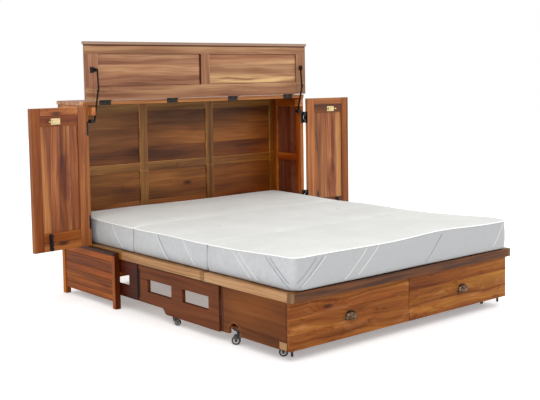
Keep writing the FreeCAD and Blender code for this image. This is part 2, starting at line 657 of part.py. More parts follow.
def wheel_body(name, radius, width):
    body = doc.addObject("PartDesign::Body", name)
    sk = body.newObject("Sketcher::SketchObject", name + "_half")
    sk.AttachmentSupport = [(plane(body, "XY_Plane"), "")]
    sk.MapMode = "FlatFace"
    w, b = width / 2.0, 3.5
    pts = [(-w, b), (w, b), (w, radius * 0.62), (w - 1.2, radius * 0.62), (w - 1.2, radius * 0.74),
           (w, radius * 0.74), (w, radius - 3), (w - 3, radius), (3 - w, radius), (-w, radius - 3),
           (-w, radius * 0.74), (1.2 - w, radius * 0.74), (1.2 - w, radius * 0.62), (-w, radius * 0.62)]
    for i in range(len(pts)):
        line(sk, pts[i], pts[(i + 1) % len(pts)])
    rev = body.newObject("PartDesign::Revolution", name + "_turned")
    rev.Profile = sk
    rev.ReferenceAxis = (plane(body, "X_Axis"), [""])
    rev.Angle = 360
    doc.recompute()
    return body


CASTORS = []
for s, side in SIDES:
    CASTORS.append(("unit_rear_" + side, s * 742, -1650.0, 61.0, 22.0, 16.0, 17.0, s * -45.0))
    CASTORS.append(("unit_front_" + side, s * 702, -1960.0, 61.0, 22.0, 16.0, 17.0, s * -45.0))
    CASTORS.append(("gate_" + side, s * 764, -1128.0, 46.0, 17.0, 13.0, 14.0, s * 135.0))
for name, cx, cy, top, radius, trail, width, swing in CASTORS:
    turn = Rotation(Vector(0, 0, 1), swing)
    where = (cx, "yshift%+g" % cy, "0")
    w = width / 2.0
    hood_low = 2 * radius + 1.5
    inner_w, outer_w = w + 1.2, w + 3.4
    crown = rod("z", 0, 0, hood_low, 13, top - 0.4 - hood_low)
    pieces = [crown, box(-outer_w, outer_w, -11, trail + 9, hood_low, hood_low + 3)]
    for q in (-1, 1):
        xa, xb = (inner_w, outer_w) if q > 0 else (-outer_w, -inner_w)
        leg_low = box(xa, xb, trail - 7, trail + 7, radius, hood_low + 3)
        brace = box(xa, xb, -9, trail + 7, radius + 9, hood_low + 3)
        eye = rod("x", xa, trail, radius, 7, xb - xa)
        pieces += [leg_low, brace, eye]
    pieces.append(rod("x", -outer_w - 1.5, trail, radius, 3, 2 * outer_w + 3))
    node("castor_fork_" + name, fuse(*pieces), base=where, turn=turn)
    body = wheel_body("tyre_" + name, radius, width)
    body.Placement = Placement(Vector(0, trail, radius), Rotation())
    node("castor_wheel_" + name, body, base=where, turn=turn)

# ------------------------------------------------------------------ mattress
for name, back, front in (("mattress_head_section", "mattress_head", "mattress_joint_one+1.5"),
                          ("mattress_middle_section", "mattress_joint_one-1.5", "mattress_joint_two+1.5"),
                          ("mattress_foot_section", "mattress_joint_two-1.5", "mattress_foot")):
    node(name, box(neg("mattress_half"), "mattress_half", front, back, "mattress_bottom", "mattress_top"))

# ------------------------------------------------------------------- checks
doc.recompute()
bad = []
for obj in doc.Objects:
    state = list(obj.State)
    if "Invalid" in state or "Error" in state:
        bad.append("%s %s" % (obj.Name, state))
for part in parts:
    if part.Shape.isNull() or not part.Shape.isValid() or not part.Shape.Solids:
        bad.append("%s has no valid shape" % part.Label)
if bad:
    raise RuntimeError("; ".join(bad))
os.makedirs("parts", exist_ok=True)
low, high = [1e9] * 3, [-1e9] * 3
for part in parts:
    bb = part.Shape.BoundBox
    low = [min(a, b) for a, b in zip(low, (bb.XMin, bb.YMin, bb.ZMin))]
    high = [max(a, b) for a, b in zip(high, (bb.XMax, bb.YMax, bb.ZMax))]
    part.Shape.exportStep("parts/%s.step" % part.Label)
print(len(parts), "sub-parts, box", [round(v, 1) for v in low], [round(v, 1) for v in high])
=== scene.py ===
import math
import bmesh
import bpy
from mathutils import Matrix, Vector
from mathutils.bvhtree import BVHTree


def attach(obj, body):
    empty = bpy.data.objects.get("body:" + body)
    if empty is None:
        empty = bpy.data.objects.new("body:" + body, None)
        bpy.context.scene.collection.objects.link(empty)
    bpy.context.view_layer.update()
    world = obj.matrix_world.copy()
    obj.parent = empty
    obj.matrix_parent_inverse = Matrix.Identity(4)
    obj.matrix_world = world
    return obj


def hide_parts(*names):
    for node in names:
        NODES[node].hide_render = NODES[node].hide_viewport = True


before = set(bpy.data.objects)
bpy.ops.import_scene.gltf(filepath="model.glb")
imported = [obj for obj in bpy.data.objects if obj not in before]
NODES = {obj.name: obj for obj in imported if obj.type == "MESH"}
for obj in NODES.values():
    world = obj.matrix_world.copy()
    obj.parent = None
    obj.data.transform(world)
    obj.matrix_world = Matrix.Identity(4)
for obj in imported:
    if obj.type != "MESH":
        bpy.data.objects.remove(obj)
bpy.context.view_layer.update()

YS = 1.0465          # back plane of the cabinet in the frame
SC = bpy.context.scene
SC.view_settings.view_transform = "Standard"
SC.view_settings.look = "None"


def lin(c):
    out = []
    for v in c[:3]:
        v = v / 255.0
        out.append(v / 12.92 if v <= 0.04045 else ((v + 0.055) / 1.055) ** 2.4)
    return (out[0], out[1], out[2], 1.0)


# ------------------------------------------------------------------ node builder
class Mat:
    def __init__(self, name):
        self.m = bpy.data.materials.new(name)
        self.m.use_nodes = True
        self.nt = self.m.node_tree
        self.nt.nodes.clear()
        self.out = self.nt.nodes.new("ShaderNodeOutputMaterial")
        self.bsdf = self.nt.nodes.new("ShaderNodeBsdfPrincipled")
        self.nt.links.new(self.bsdf.outputs[0], self.out.inputs[0])
        self.obj = self.nt.nodes.new("ShaderNodeTexCoord").outputs["Object"]
        self._xyz = None

    @property
    def xyz(self):
        if self._xyz is None:
            self._xyz = self.sep(self.obj)
        return self._xyz

    def put(self, sock, v):
        if isinstance(v, bpy.types.NodeSocket):
            self.nt.links.new(v, sock)
        elif isinstance(v, (tuple, list)) and hasattr(sock.default_value, "__len__"):
            n = len(sock.default_value)
            sock.default_value = tuple(v)[:n]
        else:
            sock.default_value = v

    def math(self, op, a, b=0.0, c=0.0, clamp=False):
        n = self.nt.nodes.new("ShaderNodeMath")
        n.operation = op
        n.use_clamp = clamp
        self.put(n.inputs[0], a)
        self.put(n.inputs[1], b)
        if len(n.inputs) > 2:
            self.put(n.inputs[2], c)
        return n.outputs[0]

    def add(self, a, b): return self.math("ADD", a, b)
    def sub(self, a, b): return self.math("SUBTRACT", a, b)
    def mul(self, a, b): return self.math("MULTIPLY", a, b)
    def gt(self, a, b): return self.math("GREATER_THAN", a, b)
    def lt(self, a, b): return self.math("LESS_THAN", a, b)

    def sep(self, v):
        n = self.nt.nodes.new("ShaderNodeSeparateXYZ")
        self.put(n.inputs[0], v)
        return n.outputs[0], n.outputs[1], n.outputs[2]

    def comb(self, x, y, z):
        n = self.nt.nodes.new("ShaderNodeCombineXYZ")
        self.put(n.inputs[0], x)
        self.put(n.inputs[1], y)
        self.put(n.inputs[2], z)
        return n.outputs[0]

    def dot(self, v, w):
        n = self.nt.nodes.new("ShaderNodeVectorMath")
        n.operation = "DOT_PRODUCT"
        self.put(n.inputs[0], v)
        self.put(n.inputs[1], w)
        return n.outputs["Value"]

    def noise(self, vec, scale=1.0, detail=2.0, rough=0.5, dist=0.0, color=False):
        n = self.nt.nodes.new("ShaderNodeTexNoise")
        self.put(n.inputs["Vector"], vec)
        n.inputs["Scale"].default_value = scale
        n.inputs["Detail"].default_value = detail
        n.inputs["Roughness"].default_value = rough
        n.inputs["Distortion"].default_value = dist
        return n.outputs["Color" if color else "Fac"]

    def voronoi(self, vec, scale=1.0, rand=1.0, feature="F1"):
        n = self.nt.nodes.new("ShaderNodeTexVoronoi")
        n.feature = feature
        self.put(n.inputs["Vector"], vec)
        n.inputs["Scale"].default_value = scale
        n.inputs["Randomness"].default_value = rand
        return n.outputs["Distance"], n.outputs.get("Color")

    def white(self, w):
        n = self.nt.nodes.new("ShaderNodeTexWhiteNoise")
        n.noise_dimensions = "1D"
        self.put(n.inputs["W"], w)
        return n.outputs["Value"], n.outputs["Color"]

    def ramp(self, fac, stops, mode="LINEAR"):
        n = self.nt.nodes.new("ShaderNodeValToRGB")
        n.color_ramp.interpolation = mode
        e = n.color_ramp.elements
        while len(e) > 1:
            e.remove(e[-1])
        e[0].position, e[0].color = stops[0][0], stops[0][1]
        for p, c in stops[1:]:
            k = e.new(p)
            k.color = c
        self.put(n.inputs[0], fac)
        return n.outputs[0]

    def smooth(self, v, lo, hi, out_lo=0.0, out_hi=1.0):
        n = self.nt.nodes.new("ShaderNodeMapRange")
        n.interpolation_type = "SMOOTHSTEP"
        self.put(n.inputs["Value"], v)
        n.inputs["From Min"].default_value = lo
        n.inputs["From Max"].default_value = hi
        n.inputs["To Min"].default_value = out_lo
        n.inputs["To Max"].default_value = out_hi
        return n.outputs[0]

    def mix(self, fac, a, b, blend="MIX"):
        n = self.nt.nodes.new("ShaderNodeMix")
        n.data_type = "RGBA"
        n.blend_type = blend
        self.put(n.inputs[0], fac)
        self.put(n.inputs[6], a)
        self.put(n.inputs[7], b)
        return n.outputs[2]

    def mixf(self, fac, a, b):
        n = self.nt.nodes.new("ShaderNodeMix")
        n.data_type = "FLOAT"
        self.put(n.inputs[0], fac)
        self.put(n.inputs[2], a)
        self.put(n.inputs[3], b)
        return n.outputs[0]

    def hsv(self, color, h=0.5, s=1.0, v=1.0):
        n = self.nt.nodes.new("ShaderNodeHueSaturation")
        self.put(n.inputs["Hue"], h)
        self.put(n.inputs["Saturation"], s)
        self.put(n.inputs["Value"], v)
        self.put(n.inputs["Color"], color)
        return n.outputs[0]

    def bump(self, height, strength, distance):
        n = self.nt.nodes.new("ShaderNodeBump")
        n.inputs["Strength"].default_value = strength
        n.inputs["Distance"].default_value = distance
        self.put(n.inputs["Height"], height)
        self.nt.links.new(n.outputs[0], self.bsdf.inputs["Normal"])
        return n

    def set(self, **kw):
        for k, v in kw.items():
            self.put(self.bsdf.inputs[k.replace("_", " ")], v)

    def steps(self, coord, edges):
        total = None
        for e in edges:
            g = self.gt(coord, e)
            total = g if total is None else self.add(total, g)
        return 0.0 if total is None else total

    def inside(self, coord, spans):
        total = None
        for a, b in spans:
            g = self.mul(self.gt(coord, a), self.lt(coord, b))
            total = g if total is None else self.add(total, g)
        return total


# ------------------------------------------------------------------ wood
def along(axis, idc=None, edges=(), seed=0.0, both=False):
    """Boards that all run one way, told apart by their place on another axis."""
    def lay(N):
        c = dict(zip("xyz", N.xyz))
        a, b, t = {"x": ("x", "z", "y"), "y": ("y", "z", "x"), "z": ("z", "x", "y")}[axis]
        ident = seed
        if idc:
            ident = N.add(N.steps(c[idc], edges), seed)
        if both:
            ident = N.add(ident, N.mul(N.gt(c["x"], 0.0), 9.0))
        return c[a], c[b], c[t], ident
    return lay


def framed(h, rails=None, stiles=None, seed=0.0, cuts_h=(), cuts_z=(), turn=None, both=False):
    """Frame of upright stiles and level rails. h is the level axis. Either the rails'
    heights or the stiles' places are given, and those run right through."""
    def lay(N):
        x, y, z = N.xyz
        if turn is not None:
            cx, cy, ang = turn
            px, py = N.sub(x, cx), N.sub(y, cy)
            ca, sa = math.cos(ang), math.sin(ang)
            hx = N.add(N.mul(px, ca), N.mul(py, sa))
            th = N.sub(N.mul(py, ca), N.mul(px, sa))
        else:
            hx, th = (x, y) if h == "x" else (y, x)
        if rails is not None:
            up = N.sub(1.0, N.inside(z, rails))
        else:
            up = N.inside(hx, stiles)
        a = N.mixf(up, hx, z)
        b = N.mixf(up, z, hx)
        ih = N.steps(hx, cuts_h)
        iz = N.steps(z, cuts_z)
        ident = N.add(N.mixf(up, N.add(N.mul(iz, 3.0), 0.5), N.add(N.mul(ih, 5.0), 31.0)), seed)
        if both:
            ident = N.add(ident, N.mul(N.gt(x, 0.0), 57.0))
        return a, b, th, ident
    return lay


def wood(name, dark, mid, light, layout, knots=0.35, figure=1.0, width=1.0, tint=0.22, rough=0.46, fine=0.5,
         coat=0.05, line=0.55, hue=0.010, extra=None, flow=1.0, streak=0.62, spec=0.36):
    N = Mat(name)
    a, b, c, ident = layout(N)
    r1, rc = N.white(ident)
    cr, cg, cb = N.sep(rc)
    a2 = N.add(a, N.mul(cr, 7.0))
    b2 = N.add(b, N.mul(cg, 3.0))
    c2 = N.add(c, N.mul(cb, 2.0))
    warp = N.sub(N.noise(N.comb(N.mul(a2, 1.7), N.mul(b2, 6.0), N.mul(c2, 6.0)), 1.0, 2.0, 0.5), 0.5)
    bw = N.add(b2, N.mul(warp, 0.055 * figure))
    # knots: few, stretched along the grain
    kd, kc = N.voronoi(N.comb(N.mul(a2, 2.6), N.mul(b2, 7.5), N.mul(c2, 1.0)), 1.0, 1.0)
    kr, kg, kb = N.sep(kc)
    pick = N.gt(kr, 1.0 - knots)
    near = N.mul(N.smooth(kd, 0.42, 0.02), pick)
    core = N.mul(N.smooth(kd, 0.13, 0.035), pick)
    # broad streaks, ring lines and pores
    bands = N.noise(N.comb(N.mul(a2, 0.9 * flow), N.mul(bw, 17.0 / width), N.mul(c2, 17.0)), 1.0, 3.0, 0.55)
    phase = N.add(N.mul(bw, 62.0 / width), N.add(N.mul(bands, 3.2), N.mul(near, 2.6)))
    ring = N.math("FRACT", phase)
    ring_dark = N.smooth(ring, 0.62, 1.0)
    thin = N.noise(N.comb(N.mul(a2, 5.0), N.mul(bw, 210.0), N.mul(c2, 210.0)), 1.0, 4.0, 0.6)
    pores = N.noise(N.comb(N.mul(a2, 38.0), N.mul(b2, 950.0), N.mul(c2, 950.0)), 1.0, 1.0, 0.5)
    cloud = N.noise(N.comb(N.mul(a2, 2.2), N.mul(b2, 4.0), N.mul(c2, 4.0)), 1.0, 2.0, 0.5)
    tone = N.add(N.mul(bands, 0.62), N.add(N.mul(thin, 0.2), N.mul(cloud, 0.18)))
    col = N.ramp(tone, [(0.34, lin(dark)), (0.49, lin(mid)), (0.64, lin(light))])
    col = N.mix(N.mul(ring_dark, line), col, N.hsv(col, 0.493, 1.12, 0.56))
    col = N.mix(N.mul(N.smooth(thin, 0.55, 0.70), 0.55 * fine), col, N.hsv(col, 0.495, 1.1, 0.62))
    col = N.mix(N.mul(N.smooth(pores, 0.60, 0.74), 0.32 * fine), col, N.hsv(col, 0.49, 1.1, 0.5))
    vein = N.noise(N.comb(N.mul(a2, 0.75), N.mul(bw, 42.0), N.mul(c2, 42.0)), 1.0, 2.0, 0.5)
    col = N.mix(N.mul(N.smooth(vein, 0.55, 0.70), streak), col, N.hsv(col, 0.494, 1.10, 0.55))
    col = N.mix(N.mul(N.smooth(vein, 0.44, 0.32), streak * 0.55), col, N.hsv(col, 0.508, 0.95, 1.28))
    kdark = tuple(v * 0.42 for v in dark)
    col = N.mix(N.mul(near, 0.55), col, N.hsv(col, 0.485, 1.15, 0.58))
    col = N.mix(N.mul(core, 0.85), col, lin(kdark))
    val = N.add(1.0 - tint * 0.5, N.mul(r1, tint))
    col = N.hsv(col, N.add(0.5 - hue * 0.5, N.mul(cg, hue)), 1.0, val)
    if extra:
        col = extra(N, col)
    N.set(Base_Color=col)
    N.set(Roughness=N.add(rough - 0.06, N.mul(thin, 0.16)))
    N.set(Specular_IOR_Level=spec)
    N.set(Coat_Weight=coat)
    N.set(Coat_Roughness=0.28)
    hgt = N.add(N.add(N.mul(thin, 0.5), N.mul(pores, 0.35)), N.add(N.mul(core, -1.2), N.mul(ring_dark, -0.35)))
    N.bump(hgt, 0.35, 0.0006)
    return N.m


def metal(name, base, base2, rough=0.42, metallic=1.0, speck=0.4, scale=120.0, wear=None, wear_at=0.62):
    N = Mat(name)
    n1 = N.noise(N.obj, scale, 3.0, 0.6)
    n2 = N.noise(N.obj, scale * 7.0, 2.0, 0.6)
    col = N.mix(N.smooth(n1, 0.35, 0.65), lin(base), lin(base2))
    if wear is not None:
        geo = N.nt.nodes.new("ShaderNodeNewGeometry")
        edge = N.smooth(geo.outputs["Pointiness"], wear_at, wear_at + 0.09)
        col = N.mix(edge, col, lin(wear))
    N.set(Base_Color=col, Metallic=metallic)
    N.set(Roughness=N.add(rough - speck * 0.1, N.mul(n1, speck * 0.3)))
    N.bump(N.add(N.mul(n1, 0.6), N.mul(n2, 0.4)), 0.12, 0.0004)
    return N


def finish_node(name, mat, bevel=0.0015, segs=2):
    """Welds, eases the edges and gives a kept node its material."""
    o = NODES[name]
    if not o.material_slots:
        o.data.materials.append(mat)
    for s in o.material_slots:
        s.material = mat
    if bevel:
        w = o.modifiers.new("weld", "WELD")
        w.merge_threshold = 0.00001
        b = o.modifiers.new("ease", "BEVEL")
        b.width = bevel
        b.segments = segs
        b.limit_method = "ANGLE"
        b.angle_limit = math.radians(32)
        b.harden_normals = False
        b.use_clamp_overlap = True
        n = o.modifiers.new("normals", "WEIGHTED_NORMAL")
        n.keep_sharp = False
        n.weight = 60
    return o


# palettes, dark / mid / light
WING = ((91, 42, 13), (152, 87, 37), (192, 130, 67))
PANEL = ((64, 25, 8), (145, 82, 39), (188, 126, 71))
LID = ((104, 63, 40), (150, 104, 74), (187, 146, 106))
BACK = ((70, 36, 13), (119, 69, 29), (161, 101, 48))
BASE = ((82, 35, 6), (137, 69, 16), (180, 100, 31))
GATE = ((73, 33, 8), (98, 48, 16), (117, 60, 23))
DECK = ((138, 94, 52), (166, 122, 76), (185, 147, 101))
DRAW = ((80, 37, 7), (128, 72, 26), (166, 110, 46))
UNIT = ((74, 36, 6), (100, 51, 13), (121, 66, 20))
BLOCK = ((128, 67, 25), (169, 101, 45), (199, 143, 78))
LEGS = ((99, 45, 11), (159, 84, 23), (206, 118, 39))
BACKF = ((80, 48, 20), (122, 81, 38), (154, 109, 54))

L5 = math.radians(5.0)


def darker(mask, k, sat=1.1, hue=0.49):
    def f(N, col):
        return N.mix(mask(N), col, N.hsv(col, hue, sat, k))
    return f


def chain(*fs):
    def f(N, col):
        for g in fs:
            col = g(N, col)
        return col
    return f


def near(N, v, places, w):
    """One where v is within w of any of the places."""
    return N.math("MINIMUM", N.inside(v, [(p - w, p + w) for p in places]), 1.0)


def stile_spans(*pairs):
    return [(a / 1000.0, b / 1000.0) for a, b in pairs]


# The legs' front faces, towards the foot, are painted much darker: painted shade under the mattress and the wings.
m_legs = wood("wood_legs", *LEGS, along("z", "y", (0.72,), 3.0, both=True), knots=0.12, width=0.8,
              extra=darker(lambda N: N.lt(N.xyz[1], YS - 0.6092), 0.24, 1.2, 0.485), spec=0.10, coat=0.0)
def planks(N):
    """The side boards run front to back. The rear board runs across."""
    a, b, t, ident = along("y", "z", (0.079, 0.117, 0.158, 0.200, 0.262), 40.0, both=True)(N)
    rear = N.gt(N.xyz[1], YS - 0.030)
    return N.mixf(rear, a, t), b, N.mixf(rear, t, a), ident


m_planks = wood("wood_planks", *BASE, planks,
                knots=0.12, tint=0.26, width=1.3, hue=0.006, spec=0.10, coat=0.0)
# The caps' palette is kept very dark as painted shade: they sit in the shadow under the wings and the mattress.
m_caps = wood("wood_caps", (46, 22, 13), (65, 35, 22), (83, 49, 33), along("y", None, (), 12.0, both=True),
              knots=0.1, spec=0.10, coat=0.0)
m_side_frame = wood("wood_side_frames", *WING,
                    framed("y", stiles=[(YS - 0.3185, YS - 0.272), (YS - 0.066, YS)], seed=5.0,
                           cuts_h=(YS - 0.16,), cuts_z=(0.5, 0.9), both=True), knots=0.12,
                    extra=darker(lambda N: N.mul(N.lt(N.math("ABSOLUTE", N.xyz[0]), 0.7895),
                                                 N.gt(N.xyz[1], YS - 0.314)), 1.0, 1.05, 0.49), spec=0.22)
m_side_panel = wood("wood_side_panels", (74, 32, 18), (106, 52, 31), (134, 75, 47),
                    along("z", "y", (YS - 0.2, YS - 0.13), 21.0, both=True), knots=0.3, tint=0.3, spec=0.22)
def back_painted_shade(N, col):
    x, y, z = N.xyz
    # Painted light and shade across the back: brighter and greyer towards the upper left, darker and redder towards
    # the lower right.
    t = N.add(N.mul(x, 0.60), N.mul(N.sub(0.80, z), 0.55))
    col = N.mix(N.smooth(t, -0.15, -0.62), col, N.hsv(col, 0.503, 0.92, 1.22))
    return N.mix(N.smooth(t, 0.05, 0.60), col, N.hsv(col, 0.488, 1.18, 0.80))


def painted_edge_highlights(N, col):
    """Painted highlights along the eased edges of the back frame, over the painted light and shade of the back."""
    x, y, z = N.xyz
    ax = N.math("ABSOLUTE", x)
    v = near(N, ax, (0.2232, 0.2788, 0.7562), 0.0022)
    h = near(N, z, (0.6882, 0.7398), 0.0018)
    m = N.math("MINIMUM", N.add(v, h), 1.0)
    n = N.noise(N.obj, 9.0, 2.0, 0.5)
    col = back_painted_shade(N, col)
    return N.mix(N.mul(m, N.smooth(n, 0.30, 0.62)), col, N.hsv(col, 0.505, 0.95, 2.0))


m_back_frame = wood("wood_back_frame", *BACKF,
                    framed("x", stiles=stile_spans((-814, -755), (-280, -222), (222, 280), (755, 814)), seed=70.0,
                           cuts_h=(-0.5, 0.0, 0.5), cuts_z=(0.5, 0.9)), knots=0.08, tint=0.2,
                    extra=painted_edge_highlights, spec=0.22)
m_back_panel = wood("wood_back_panels", *BACK, along("x", "z", (0.50, 0.62, 0.714, 0.84, 0.96), 90.0),
                    knots=0.42, tint=0.22, width=2.6, line=0.30, streak=0.45, fine=0.4, extra=back_painted_shade, spec=0.22)
m_top = wood("wood_top", *WING, along("x", "y", (YS - 0.21, YS - 0.1), 2.0), knots=0.2,
             extra=lambda N, col: N.mix(N.mul(N.lt(N.xyz[0], -0.8170), 0.8), col, N.hsv(col, 0.505, 0.8, 1.7)))
m_stop = wood("wood_blocks", *BLOCK, along("y", None, (), 8.0, both=True), knots=0.0)
def lid_marks(N, col):
    """The front strip is paler, with a painted shadow under it, fine joints at the rails, and a painted shadow left of
    the mullion.
    """
    x, y, z = N.xyz
    strip = N.gt(z, 1.4668)
    col = N.mix(N.mul(strip, 0.55), col, lin((158, 134, 120)))
    # painted shadow under the proud front strip
    col = N.mix(N.inside(z, [(1.4585, 1.4670)]), col, N.hsv(col, 0.478, 1.35, 0.24))
    col = N.mix(N.gt(z, 1.4800), col, N.hsv(col, 0.49, 0.9, 0.62))
    ax = N.math("ABSOLUTE", x)
    sides = N.mul(N.add(N.inside(ax, [(0.7300, 0.7318)]), N.inside(x, [(-0.7655, -0.7625)])), N.lt(z, 1.4145))
    rails = N.inside(z, [(1.2272, 1.2286), (1.4132, 1.4146)])
    m = N.math("MINIMUM", N.add(sides, rails), 1.0)
    col = N.mix(N.mul(m, 0.7), col, N.hsv(col, 0.485, 1.1, 0.45))
    # painted shadow on the frame left of the mullion
    shade = N.mul(N.inside(x, [(-0.0345, -0.0290)]), N.inside(z, [(1.228, 1.414)]))
    return N.mix(shade, col, N.hsv(col, 0.48, 1.2, 0.35))


def lid_panel_marks(N, col):
    x, y, z = N.xyz
    ax = N.math("ABSOLUTE", x)
    m = N.math("MINIMUM", N.add(N.gt(ax, 0.7285), N.inside(z, [(1.4108, 1.416), (1.226, 1.2300)])), 1.0)
    col = N.mix(N.mul(m, 0.75), col, N.hsv(col, 0.48, 1.15, 0.42))
    # painted shadow on the panel left of the mullion
    col = N.mix(N.inside(x, [(-0.0400, -0.0320)]), col, N.hsv(col, 0.48, 1.15, 0.25))
    # pale sapwood low in the right-hand panel
    n = N.noise(N.comb(N.mul(x, 2.2), N.mul(z, 30.0), 0.0), 1.0, 2.0, 0.5)
    sap = N.mul(N.mul(N.smooth(z, 1.315, 1.250), N.gt(x, 0.0)), N.smooth(n, 0.40, 0.60))
    col = N.mix(N.mul(sap, 0.75), col, lin((224, 184, 128)))
    rose = N.mul(N.smooth(z, 1.330, 1.400), N.gt(x, 0.0))
    return N.mix(N.mul(rose, 0.35), col, N.hsv(col, 0.485, 1.15, 0.80))


m_lid_frame = wood("wood_lid_frame", *LID,
                   framed("x", rails=[(1.10, 1.2281), (1.4139, 1.4665), (1.4672, 1.60)], seed=14.0,
                          cuts_h=(-0.4, 0.4), cuts_z=(1.32, 1.4669)), knots=0.22, tint=0.2, line=0.4,
                   extra=lid_marks, spec=0.22)
m_lid_panel = wood("wood_lid_panels", *LID, along("x", "z", (1.290, 1.352), 61.0, both=True), knots=0.32, tint=0.2,
                   width=1.5, line=0.4, figure=1.5, extra=lid_panel_marks, spec=0.22)
m_deck = {}


def deck_extra(y_edges, front=False):
    """The end blocks of the deck rails are darker. The rail across the foot is painted dark brown: its own darker
    wood, and painted shade under the mattress.
    """
    def f(N, col):
        x, y, z = N.xyz
        m = N.inside(y, y_edges)
        col = N.mix(N.mul(m, 0.85), col, N.hsv(col, 0.49, 1.15, 0.62))
        if front:
            ax = N.math("ABSOLUTE", x)
            # foot rail: darker brown wood plus painted shade under the mattress
            rail = N.mul(N.lt(ax, 0.7632), N.lt(y, YS - 2.0704))
            n = N.noise(N.comb(N.mul(x, 3.0), N.mul(z, 60.0), 0.0), 1.0, 3.0, 0.55)
            brown = N.mix(N.smooth(n, 0.3, 0.7), lin((55, 27, 6)), lin((99, 54, 18)))
            col = N.mix(rail, col, brown)
            ends = N.mul(N.gt(ax, 0.7632), N.lt(y, YS - 2.0640))
            col = N.mix(ends, col, N.hsv(col, 0.497, 1.05, 0.46))
        return col
    return f


m_deck["deck_head_leaf"] = wood("wood_deck_head", *DECK, along("y", None, (), 33.0, both=True), knots=0.05, spec=0.22)
m_deck["deck_middle_leaf"] = wood("wood_deck_middle", *DECK, along("y", None, (), 34.0, both=True), knots=0.10,
                                  extra=deck_extra([(YS - 0.640, YS - 0.600), (YS - 1.4235, YS - 1.388)]), spec=0.22)
m_deck["deck_foot_leaf"] = wood("wood_deck_foot", *DECK, framed("y", stiles=[(YS - 5.0, YS - 2.0700)], seed=37.0,
                                both=True), knots=0.08,
                                extra=deck_extra([(YS - 1.4270, YS - 1.42)], True), spec=0.22)


def black_where(test):
    def f(N, col):
        return N.mix(test(N), col, (0.022, 0.012, 0.008, 1.0))
    return f


def gate_black(front):
    def t(N):
        x, y, z = N.xyz
        ax = N.math("ABSOLUTE", x)
        m = N.gt(ax, 0.77405)
        if front:
            m = N.math("MAXIMUM", m, N.lt(y, YS - 1.5291))
        else:
            m = N.math("MAXIMUM", m, N.gt(y, YS - 0.0499))
        return m
    return t


# The rear gates' palette is darkened and reddened as painted shade under the deck and mattress.
GATE_REAR_SHADED = ((46, 12, 4), (68, 22, 8), (85, 32, 14))
m_gate_rear = wood("wood_gate_rear", *GATE_REAR_SHADED, along("y", None, (), 51.0, both=True), knots=0.05, tint=0.12, width=2.0,
                   line=0.25, extra=black_where(gate_black(False)), spec=0.10, coat=0.0)
m_gate_front = wood("wood_gate_front", *GATE, along("y", None, (), 52.0, both=True), knots=0.05, tint=0.12, width=2.0,
                    line=0.25, extra=black_where(gate_black(True)), spec=0.10, coat=0.0)
def unit_marks(N, col):
    """Upright post at the back edge, a soft paler middle, and a red-brown inside."""
    x, y, z = N.xyz
    ax = N.math("ABSOLUTE", x)
    post = N.gt(y, YS - 1.5680)
    col = N.mix(N.mul(post, 0.8), col, N.hsv(col, 0.48, 1.1, 0.55))
    edge = N.lt(y, YS - 2.0380)
    col = N.mix(N.mul(edge, 0.6), col, N.hsv(col, 0.485, 1.1, 0.62))
    dy = N.mul(N.sub(y, YS - 1.80), 4.2)
    dz = N.mul(N.sub(z, 0.190), 8.0)
    glow = N.smooth(N.add(N.mul(dy, dy), N.mul(dz, dz)), 1.0, 0.0)
    col = N.mix(N.mul(glow, 0.5), col, N.hsv(col, 0.502, 1.0, 1.45))
    ny, nz = N.sub(y, YS - 1.652), N.sub(z, 0.062)
    rr = N.math("SQRT", N.add(N.mul(ny, ny), N.mul(nz, nz)))
    lip = N.mul(N.lt(rr, 0.0545), N.gt(rr, 0.0460))
    col = N.mix(N.mul(lip, 0.65), col, N.hsv(col, 0.505, 0.95, 1.7))
    return N.mix(N.lt(ax, 0.7540), col, lin((84, 42, 30)))


m_unit = wood("wood_unit", *UNIT, along("y", None, (), 54.0, both=True), knots=0.1, tint=0.14, width=2.0, line=0.3,
              extra=unit_marks, spec=0.10, coat=0.0)
m_box = wood("wood_drawer_box", (150, 108, 70), (178, 134, 92), (198, 156, 112), along("y", None, (), 58.0, both=True),
             knots=0.05, tint=0.1, width=2.0, line=0.25)
m_ublock = wood("wood_unit_blocks", (112, 78, 42), (146, 106, 62), (174, 132, 84), along("z", None, (), 59.0),
                knots=0.0, extra=lambda N, col: N.mix(N.lt(N.math("ABSOLUTE", N.xyz[0]), 0.7725), col,
                                                      lin((74, 34, 24))))
m_draw = {}
def draw_marks(N, col):
    """Blotchy veneer: pale islands and darker wavy figure."""
    x, y, z = N.xyz
    w = N.noise(N.comb(N.mul(x, 7.0), N.mul(z, 16.0), 3.0), 1.0, 3.0, 0.6, 0.8)
    col = N.mix(N.mul(N.smooth(w, 0.56, 0.68), 0.55), col, N.hsv(col, 0.503, 0.92, 1.35))
    w2 = N.noise(N.comb(N.mul(x, 9.0), N.mul(z, 26.0), 9.0), 1.0, 4.0, 0.65, 1.4)
    col = N.mix(N.mul(N.smooth(w2, 0.57, 0.66), 0.6), col, N.hsv(col, 0.485, 1.12, 0.55))
    return col


